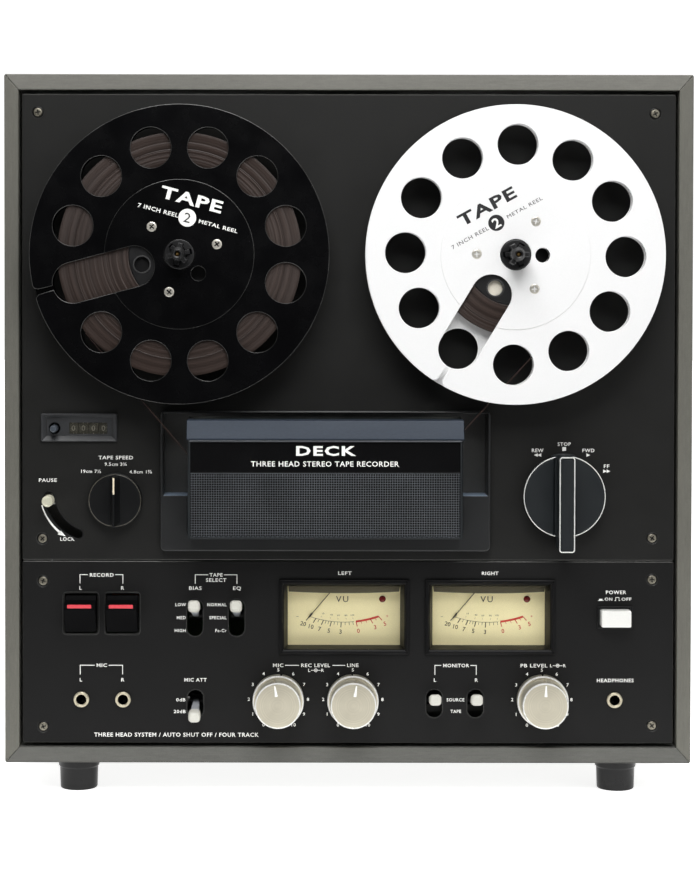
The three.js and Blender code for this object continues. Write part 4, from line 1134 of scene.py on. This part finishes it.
def record_keys():
    low_front, high_front = (10.4, 112.5), (10, 115.6)
    profile = points((1, 98), (-5, 98), (-5, 119.6), (1.2, 120.2), (2.5, 117.5), high_front, low_front,
                     (3, 101))
    outline = fillet(anticlockwise(profile), 0.9, 4)
    lean = math.atan2(low_front[0] - high_front[0], high_front[1] - low_front[1])
    on_front = Matrix.Translation((0, 114.05, 10.2)) @ Matrix.Rotation(lean, 4, "X")
    for side, x in KEYS.items():
        name = f"record_key_{side}"
        key = across(plate(outline, x - KEY_WIDTH / 2, x + KEY_WIDTH / 2, edge=0.5, steps=3, both=True))
        piece(name, [key], "key_black", name, [name])
        stripe = plate(round_rect(x - 7.2, x + 7.2, -1.7, 1.7, 0.4), -0.35, 0.12, edge=0.1)
        piece(f"{name}_stripe", [placed(stripe, on_front)], "key_red", name)
        opening = fillet(centred(x, KEY_Z, 20.2, 24.2), 1.5, 5)
        trim = plate(fillet(centred(x, KEY_Z, 22.2, 26.2), 2.6, 6), -1.9, 0.35, [opening], edge=0.2, rim=0.35)
        # The trim's bevels take the paler finish: a painted highlight.
        piece(f"{name}_trim", [trim], "black", painted_bevel_highlight="panel_bevel_painted_highlight")


def levers():
    rims = []
    for name, (x, z, slot, tilt) in LEVERS.items():
        foot, waist = fillet(centred(x, z, 3.6, 3.6), 0.9, 3), fillet(centred(x, z, 5.4, 5), 1.4, 3)
        tip = fillet(centred(x, z, 7.2, 6.6), 2.3, 5)
        barrel = standing_axle(x - 4, x + 4, 3.5, z, LEVER_AXIS_H)
        stem = stack((foot, 0, -16), (waist, 0, 8))
        bat = stack((tip, 1.1, 5.6), (tip, 0.6, 7), (tip, 0.15, 8.4), (tip, 0, 10), (tip, 0, 13.4),
                    (tip, 0.3, 14.3), (tip, 0.9, 14.9), (tip, 1.3, 15))
        barrel, stem, bat = (tilted(shape, tilt, z, LEVER_AXIS_H) for shape in (barrel, stem, bat))
        piece(f"{name}_barrel", [barrel], "black", name)
        piece(f"{name}_stem", [stem], "lever_grey", name)
        piece(name, [bat], "lever_cream", name, [name])
        rims.append(plate(stadium(x, z, 10.8, slot + 1), -1.5, 0.15, [stadium(x, z, 9.6, slot - 0.2)],
                          edge=0.1, rim=0.3))
    # The rims' bevels take the paler finish: a painted highlight.
    piece("lever_rims", rims, "black", painted_bevel_highlight="panel_bevel_painted_highlight")


def notched(radius, half, floor):
    """A circle with a square notch at its top."""
    return [p if abs(p.x) > half or p.y < 0 else Vector((p.x, floor)) for p in circle(0, 0, radius, 120)]


def level_knobs():
    cap_painted_highlight = [(12.9, 22), (13.3, 21.95), (13.75, 21.3), (13.75, 20.9), (12.9, 20.9)]
    ring_painted_highlight = [(14.6, 8), (15, 7.95), (15.45, 7.3), (15.45, 6.8), (14.6, 6.8)]
    sleeve = lathe([(3.6, 8), (5.2, 8), (5.2, -12), (3.6, -12)], sides=32, closed=True)
    ring = plate(notched(15.4, 0.62, 14.2), 0.8, 8, [circle(0, 0, 5.2)], edge=0.9, steps=4)
    wedge = points((-0.95, 5.6), (0.95, 5.6), (0.42, 12.2), (-0.42, 12.2))
    cap = plate(notched(13.7, 0.6, 12.6), 8.3, 21.9, edge=0.9, steps=4)
    face = plate(circle(0, 0, 12.75, 96), 21.8, 22, [wedge], edge=0.1, rim=0.05)
    shaft = rod(3.2, -18, 8.3, sides=32)
    pointer = plate(inset(wedge, 0.05), 21.8, 22.35, edge=0.15)
    for name, (x, cap_turn, ring_turn) in LEVELS.items():
        here = (x, LEVEL_Z)
        for part, turn, shapes in (
            ("ring", ring_turn, (ring, sleeve)), ("cap", cap_turn, (cap, face, shaft)),
        ):
            body, set_down = f"{name}_{part}", [spun(s, turn, *here) for s in shapes]
            piece(body, set_down, "spun_aluminium", body, [body], here)
        piece(f"{name}_pointer", [spun(pointer, cap_turn, *here)], "print_white", f"{name}_cap")
        # Pale rings on the cap's and the ring's top edges: a painted highlight.
        for part, profile in (("cap", cap_painted_highlight), ("ring", ring_painted_highlight)):
            rim = moved(lathe(profile, sides=96, closed=True), *here)
            piece(f"{name}_{part}_edge", [rim], "silver_trim_and_painted_highlight", f"{name}_{part}")


def jacks():
    nut = softened([(3.05, 0.3), (4.75, 0.3), (4.75, 1.3), (4.3, 1.8), (3.4, 1.8), (3.05, 1.4)], 0.12)
    bush = softened([(2.9, -28), (2.9, 0.5), (3.6, 0.5), (3.6, -0.3), (4.2, -0.3), (4.2, -2.3), (6.8, -2.3),
                     (6.8, -30), (0, -30), (0, -28)], 0.15)
    for name, x in JACKS.items():
        rim = lathe(nut, x, JACK_Z, 48, closed=True)
        piece(name, [rim], "warm_nickel", replaces=[name])
        piece(f"{name}_bush", [lathe(bush, x, JACK_Z, 40)], "bore_black")
        spring = block(x - 0.8, x + 0.8, JACK_Z - 3.1, JACK_Z - 1.7, -14, -6, 0.2)
        piece(f"{name}_contact", [spring], "dark_metal")


def power_button():
    x, z, width, height = POWER
    cap = plate(fillet(centred(x, z, width, height), 0.9), -4, 7.8, edge=0.45, steps=3)
    stem = block(x - 3, x + 3, z - 3, z + 3, -22, -3)
    piece("power_button", [cap, stem], "lever_white", "power_button", ["power_button"])
    opening = fillet(centred(x, z, 18.6, 11), 0.6, 3)
    trim = plate(fillet(centred(x, z, 21.4, 13.8), 1, 4), -1.9, 1.0, [opening], edge=0.4, rim=0.3)
    piece("power_button_trim", [trim], "black")


# ---- Level meters ----------------------------------------------------------------------------------------

RED_FROM = -14.9  # degrees, where the scale turns red
SCALE_MARKS = [("20", 40.3), ("10", 33.2), ("7", 24.7), ("5", 15.3), ("3", 3.3), ("0", RED_FROM),
               ("3", -31.5), ("5", -40.7)]
SCALE_DROP, SCALE_TOP = 65, 102.2


def scale_point(x, degrees, beyond=0.0):
    """Where the needle's line, degrees left of straight down, meets the scale's shallow arc."""
    a = math.radians(degrees)
    direction = Vector((-math.sin(a), -math.cos(a)))
    pivot, centre = Vector((x, PIVOT_Z)), Vector((x, SCALE_TOP + SCALE_DROP))
    offset = pivot - centre
    along = offset.dot(direction)
    reach = -along + math.sqrt(along ** 2 - offset.length_squared + SCALE_DROP ** 2)
    return pivot + direction * (reach + beyond)


def meter(side, x):
    h = DIAL_H + 0.5
    outer = round_rect(x - 39.25, x + 39.25, METER_Z - 22.75, METER_Z + 22.75, 0.8)
    mouth = round_rect(x - 36.25, x + 36.25, METER_Z - 19.6, METER_Z + 19.6, 0.5)
    throat = round_rect(x - 34.2, x + 34.2, METER_Z - 18.6, METER_Z + 17.5, 0.4)
    funnel = stack(
        (outer, 0, -0.9), (outer, 0, 1.2), (outer, 0.35, 1.65), (outer, 0.9, 1.8), (outer, 1.7, 1.8),
        (outer, 2.1, 1.2), (mouth, -0.4, 0.9), (mouth, 0, 0.5), (throat, 0, h + 2), (throat, 0, h + 1.75),
        (outer, 1.4, h + 1.75), (outer, 1.4, -0.9), closed=True,
    )
    body = plate(round_rect(x - 41, x + 41, 84.5, 137.5, 1.5), -15.5, -2.3,
                 [rect(x - 37.9, x + 37.9, METER_Z - 21.4, 135.5)], edge=0.5)
    back = plate(round_rect(x - 38.3, x + 38.3, 85.4, 135.8, 1), -15.4, h - 1.0, edge=0.1)
    movement = lathe([(0, -34.5), (15, -34.5), (16, -33.5), (16, -15), (0, -15)], x, PIVOT_Z - 22, 56)
    case = f"meter_case_{side}"
    piece(case, [funnel, body, back, movement], "bezel_black", replaces=[case])
    card = plate(rect(x - 36, x + 36, 87, 134), h - 0.9, h - 0.3, edge=0.05)
    piece(f"meter_dial_{side}", [card], "dial")

    half, stations = 33.6, (-33.6, -24, -14, -5, 5, 14, 24, 33.6)
    drop = [Vector((x + u, 120.6 + (u / half) ** 2)) for u in stations]
    shade = plate(drop + points((x + 34, 125.2), (x - 34, 125.2)), -8.0, -6.8, edge=0.2)
    piece(f"meter_shade_{side}", [shade], "shade")
    meter_print(side, x, h - 0.3)
    profile = [(0, h + 0.9), (1.4, h + 0.8), (2.05, h + 0.1), (2.05, h - 0.4), (0, h - 0.4)]
    lamp = lathe(softened(profile, 0.4), x + 23.5, 116.4, 36)
    piece(f"meter_lamp_{side}", [lamp], "lamp_red")
    glass = plate(rect(x - 36.1, x + 36.1, METER_Z - 19.4, METER_Z + 19.4), -0.4, 0.3, edge=0.1)
    piece(f"meter_window_{side}", [glass], "glass")

    needle, nh = f"meter_needle_{side}", h + 1.0
    outline = points((-0.3, 4), (-0.2, -29), (-0.6, -30.6), (-0.3, -33.6), (0.3, -33.6), (0.6, -30.6),
                     (0.2, -29), (0.3, 4))
    parts = plate(outline, nh, nh + 0.35, edge=0.05), rod(2.2, nh - 0.6, nh + 0.6, sides=32)
    set_down = [spun(part, -40.5, x, PIVOT_Z) for part in parts]
    piece(needle, set_down, "dial_ink", needle, [needle])


def meter_print(side, x, h):
    def tick(angle, start, stop, width):
        return stroke([scale_point(x, angle, start), scale_point(x, angle, stop)], width, h)

    black, red = [], []
    for i, (text, angle) in enumerate(SCALE_MARKS):
        group = red if i >= 5 else black
        label = scale_point(x, angle, 5.9)
        group.append(tick(angle, 0, 3.2, 0.5))
        group.append(letters(text, *label, 2.5, bold=0.01, wide=1, spacing=1, turn=-angle * 0.35, h=h))
    for angle in (29.5, 21.5, 18.4, 11.5, 7.4, -1.6, -6.4, -11, -20.6, -26.2, -36.4):
        group = red if angle < RED_FROM else black
        group.append(tick(angle, 0, 1.9, 0.26))
    sweep = [scale_point(x, 40.3 - i * 55.2 / 24) for i in range(24)]
    black.append(stroke(sweep, 0.22, h))
    band = [scale_point(x, RED_FROM - i * 25.8 / 12) for i in range(13)]
    red.append(stroke(band, 1.25, h))
    for text, angle in (("10", 29), ("40", 17.6), ("60", 7.9), ("80", -3), ("100", -12)):
        black.append(letters(text, *scale_point(x, angle, -4.1), 0.95, bold=0, h=h))
        black.append(tick(angle, -2.5, -1.6, 0.16))
    black.append(letters("VU", x - 0.9, 116.3, 3.6, bold=0.004, wide=1.02, spacing=1.25, h=h))
    black.append(line(x - 29, 105.6, x - 27.6, 105.6, 0.2, h))
    red += [line(x + 25.7, 106, x + 27.1, 106, 0.2, h), line(x + 26.4, 105.3, x + 26.4, 106.7, 0.2, h)]
    piece(f"meter_scale_{side}", black, "dial_ink")
    piece(f"meter_scale_red_{side}", red, "dial_red")


# ---- Printing on the panels ------------------------------------------------------------------------------


def arrowheads(x, z, count, direction):
    size = 2.1
    first = -(count - 1) * size * 0.5
    return [triangle(x + first + i * size, z, size, direction) for i in range(count)]


def pause_arrow():
    """A curved band that widens towards its arrowhead, just outside the pause slot."""
    steps = [i / 24 for i in range(25)]
    outer = [polar(*PAUSE, 33.9 - 0.1 * t, 195 + 35 * t) for t in steps]
    inner = [polar(*PAUSE, 33.2 - 0.8 * t, 195 + 35 * t) for t in steps]
    head = [polar(*PAUSE, radius, degrees) for radius, degrees in ((35, 229), (32.9, 236.8), (31.9, 229))]
    return merge(spot(outer + inner[::-1]), spot(head))


def deck_print():
    shapes = words(("REW", 114.1, 208.1, 7), ("STOP", 130.2, 211.9, 8), ("FWD", 144.8, 208.1, 7.2),
                   ("FF", 155.8, 198.6, 3.4))
    shapes += [
        *arrowheads(114.2, 205.3, 2, -1), *arrowheads(144.8, 205.3, 1, 1), *arrowheads(156, 195.6, 2, 1),
        spot(centred(130.2, 209, 2.3, 2.3)), pause_arrow(),
        letters("TAPE SPEED", -140.2, 203.4, wide=1.2), letters("9.5cm 3¾", -140.2, 199.4, 1.9),
        letters("19cm 7½", -155.3, 195.1, 1.9), letters("4.8cm 1⅞", -125.2, 194.8, 1.9),
        letters("PAUSE", -181.3, 189.7, wide=1.2), letters("LOCK", -169.6, 154.1, wide=1.02),
    ]
    piece("deck_print", shapes, "print_white")


def control_print():
    shapes = words(
        ("LEFT", -2, 133.7, 8.1), ("RIGHT", 85.7, 133.7, 10), ("RECORD", -148.8, 132.4, 14.4),
        ("TAPE", -79.7, 132.5, 7.9), ("SELECT", -79.7, 129.4, 12.3), ("BIAS", -92.3, 124.5, 7.6),
        ("EQ", -67.1, 124.5, 4.8), ("MIC ATT", -92.2, 68.9, 13.5), ("0dB", -101, 56.8, 5.6, 1.9),
        ("20dB", -101.7, 49.7, 7.2, 1.9), ("MONITOR", 65.3, 77.8, 15.7), ("SOURCE", 65.1, 57, 10.7, 1.8),
        ("TAPE", 65.3, 50, 6.4, 1.8), ("MIC", -148.8, 77.7, 6.3), ("HEADPHONES", 161.6, 68.9, 22.2),
        ("POWER", 161.8, 122.3, 12.3), ("ON", 157.4, 118.2, 4.6, 1.8), ("OFF", 168.2, 118.2, 6, 1.8),
        ("MIC", -42.2, 77.8, 6.3), ("REC LEVEL", -19.6, 77.8, 17.5), ("LINE", 2.9, 77.9, 6.9),
        ("PB LEVEL", 112.4, 77.8, 16.3),
        ("THREE HEAD SYSTEM / AUTO SHUT OFF / FOUR TRACK", -103.7, 35.6, 99.5, 2.35),
    )
    for left, right, z in ((-161.6, -136.3, 124.5), (52.6, 77.6, 69), (-161.5, -136.2, 68.9)):
        shapes += [letters("L", left, z), letters("R", right, z)]
    shapes += [
        bracket(-161.9, -136, 132.6, 127.2, -157.2, -140.6),
        bracket(-92.3, -67.1, 132.6, 127.2, -84.5, -74.9),
        bracket(52.6, 77.6, 77.9, 72.1, 56.4, 74.1),
        bracket(-161.8, -136.2, 77.7, 72.1, -153, -144.6),
        line(-38, 77.8, -29.5, 77.8), line(-9.3, 77.8, -1.6, 77.8), line(151, 117.3, 154.4, 117.3, 0.3),
        spot(centred(152.7, 117.9, 2, 0.9)),
        stroke(points((161, 117.3), (161.7, 117.3), (161.7, 119.2), (163.7, 119.2), (163.7, 117.3),
                      (164.4, 117.3)), 0.3),
    ]
    for z, bias, eq in ((114.5, "LOW", "NORMAL"), (106.6, "MED", "SPECIAL"), (98.8, "HIGH", "Fe-Cr")):
        for text, x in ((bias, -97.9), (eq, -73.4)):
            shapes.append(letters(text, x, z, 1.8, align="RIGHT", wide=1.0))
    for x, z in ((-19.4, 74.8), (126.8, 77.8)):
        hole = circle(x, z, 0.75, 24)
        ring = plate(circle(x, z, 1.1, 24), -0.02, INK, [hole], edge=0.01, rim=0.01, steps=1)
        shapes += [letters("L", x - 4, z, 1.8), letters("R", x + 4, z, 1.8),
                   line(x - 2.9, z, x + 2.9, z, 0.3), ring, spot(circle(x, z, 0.4, 16))]
    for x, _, _ in LEVELS.values():
        shapes += [letters(str(n), *polar(x, LEVEL_Z, 17.9, 240 - 30 * n), 1.9, bold=0.01) for n in range(11)]
    piece("control_print", shapes, "print_white")


# ---- Inside and behind -----------------------------------------------------------------------------------


def electronics():
    board = plate(round_rect(-170, 100, 46, 136, 1.5), -140, -138, edge=0.1)
    piece("amplifier_board", [board], "circuit_board", replaces=["amplifier_board"])
    blocks = [block(x, x + 14, z, z + 7, -138, -130) for x, z in ((-20, 60), (10, 84), (40, 62), (70, 100))]
    piece("board_modules", blocks, "black")
    plates = [block(-160, -105, 88 + 1.5 * i, 89.3 + 1.5 * i, -137.5, -92, 0.2) for i in range(30)]
    piece("transformer_core", plates, "lamination")
    winding_outline = round_rect(-151, -114, 96, 125, 6)
    coil = stack((winding_outline, 0, -138), (winding_outline, 0, -91.5))
    bell = block(-150, -115, 86.2, 134.8, -128, -101, 3)
    piece("transformer_coil", [coil, bell], "copper_tape")
    can = softened([(0, -106), (8.2, -106), (9, -107), (9, -110), (8.6, -110.8), (9, -111.6), (9, -137.5),
                    (0, -137.5)], 0.4)
    cans = [lathe(can, x, 112, 48) for x in (-80, -55, -30)]
    piece("smoothing_capacitors", cans, "sleeve_blue")
    rear_sockets()


def rear_sockets():
    carrier = block(-20, 80, 59, 101, SOCKET_FACE, -140.2, 1)
    piece("socket_plate", [carrier], "gloss_black")
    barrel = [(4.2, -155), (4.2, -164.6), (3.9, -165), (3.1, -165), (3.1, -156), (1.6, -156), (1.6, -155)]
    ring = [(4.5, -155), (6, -155), (6, -156.6), (4.5, -157)]
    rows = [[(-9 + 26 * column, 80 + (row - 0.5) * 22) for column in range(4)] for row in (0, 1)]
    shells = [lathe(barrel, x, z, 36, closed=True) for x, z in rows[0] + rows[1]]
    piece("line_sockets", shells, "nickel")
    right, left = ([lathe(ring, x, z, 36, closed=True) for x, z in row] for row in rows)
    piece("socket_rings_right", right, "ring_red")
    piece("socket_rings_left", left, "lever_white")
    for name, h, rows in (
        ("socket_print", SOCKET_FACE, (("L", -16, 91, 3), ("R", -16, 69, 3), ("LINE IN", 4, 80, 3),
                                       ("LINE OUT", 56, 80, 3))),
        ("back_print", BACK_FACE, (("AC IN", -135, 93, 4), ("AUDIO", 30, 112, 4))),
    ):
        shapes = [about_face(letters(text, -x, z, cap), h) for text, x, z, cap in rows]
        piece(name, shapes, "print_white")

    shell, recess = round_rect(-150, -120, 63, 85, 2.5), round_rect(-145, -125, 68, 80, 3)
    inlet = stack((shell, 0, -139.6), (shell, 0, -161.8), (shell, 0.7, -162.5), (recess, -0.4, -162.5),
                  (recess, 0, -162), (recess, 0, -147))
    piece("mains_inlet", [inlet], "black")
    pins = [block(x - 0.9, x + 0.9, 71.5, 76.5, -158, -146.9, 0.3) for x in (-139.5, -130.5)]
    piece("mains_inlet_pins", pins, "nickel")


def carried_over():
    """CAD pieces whose shape is right as it is get their finish here."""
    for node, material in (("chassis_plate", "steel"), ("tape_run", "tape_face")):
        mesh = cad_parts[node].data
        mesh.materials.clear()
        mesh.materials.append(MATERIALS[material])


# ---- Studio ----------------------------------------------------------------------------------------------


def studio():
    scene = bpy.context.scene
    scene.view_settings.view_transform = "Standard"
    world = bpy.data.worlds.new("studio")
    scene.world = world
    world.use_nodes = True
    nodes, links = world.node_tree.nodes, world.node_tree.links
    background = nodes["Background"]
    place, split = nodes.new("ShaderNodeTexCoord"), nodes.new("ShaderNodeSeparateXYZ")
    range_node = nodes.new("ShaderNodeMapRange")
    range_node.inputs["From Min"].default_value = -0.35
    range_node.inputs["From Max"].default_value = 0.2
    range_node.inputs["To Min"].default_value = 0.06
    range_node.inputs["To Max"].default_value = 1.05
    links.new(place.outputs["Generated"], split.inputs["Vector"])
    links.new(split.outputs["Y"], range_node.inputs["Value"])
    links.new(range_node.outputs["Result"], background.inputs["Strength"])
    background.inputs["Color"].default_value = (1, 1, 1, 1)

    bm = bmesh.new()
    bmesh.ops.create_grid(bm, x_segments=2, y_segments=2, size=9)
    floor_mesh = bpy.data.meshes.new("studio_floor")
    bm.to_mesh(floor_mesh)
    bm.free()
    floor = bpy.data.objects.new("studio_floor", floor_mesh)
    floor_mesh.materials.append(paper_sweep())
    scene.collection.objects.link(floor)

    for name, where, size, power in (
        ("key", (0.0, PANEL_Y - 0.6, 1.02), 0.7, 12.5),
        ("fill", (1.1, PANEL_Y - 1.2, 0.7), 1.0, 5),
        ("overhead", (0.0, 0.3, 1.9), 1.2, 5),
    ):
        light = bpy.data.lights.new(name, "AREA")
        light.shape, light.size, light.energy = "SQUARE", size, power
        lamp = bpy.data.objects.new(name, light)
        scene.collection.objects.link(lamp)
        lamp.location = where
        lamp.rotation_euler = (Vector((0, 0, 0.23)) - Vector(where)).to_track_quat("-Z", "Y").to_euler()


def paper_sweep():
    """White paper lit from below around the deck and behind it, which falls off to grey in front."""
    s = Shader("floor_paper")
    place = s.coordinates()
    split = s.node("ShaderNodeSeparateXYZ")
    s.link(place, split.inputs["Vector"])
    light = s.spread(split.outputs["Y"], 0.1, 1, (-0.4, -0.25))
    s.colour((246, 246, 245), s.product(light, s.spread(s.noise(place, 40), 0.99, 1.01)))
    s.link(s.spread(light, 0, 0.8, (0.1, 1)), s.principled.inputs["Emission Strength"])
    s.constants(Emission_Color=(1, 1, 1, 1), Roughness=0.8)
    return s.material


def camera():
    data = bpy.data.cameras.new("camera")
    data.lens, data.sensor_width, data.sensor_fit = 110.98, 36, "HORIZONTAL"
    data.shift_x, data.shift_y = 0.0566, -0.1291
    obj = bpy.data.objects.new("camera", data)
    bpy.context.scene.collection.objects.link(obj)
    obj.location = (-0.023, PANEL_Y - 1.3, 0.3)
    obj.rotation_euler = (math.radians(90 - 1.233), math.radians(-0.084), 0)
    bpy.context.scene.camera = obj


# ---- Build -----------------------------------------------------------------------------------------------

camera()
studio()
cabinet()
back_cover()
feet()
panels()
reel(**SUPPLY)
reel(**TAKE_UP)
head_block()
capstan_and_pinch()
head_housing()
head_cover()
function_knob()
speed_knob()
pause_control()
counter()
record_keys()
levers()
level_knobs()
jacks()
power_button()
for side, x in METERS.items():
    meter(side, x)
deck_print()
control_print()
electronics()
carried_over()
bpy.data.objects.remove(FONT_OBJECT)
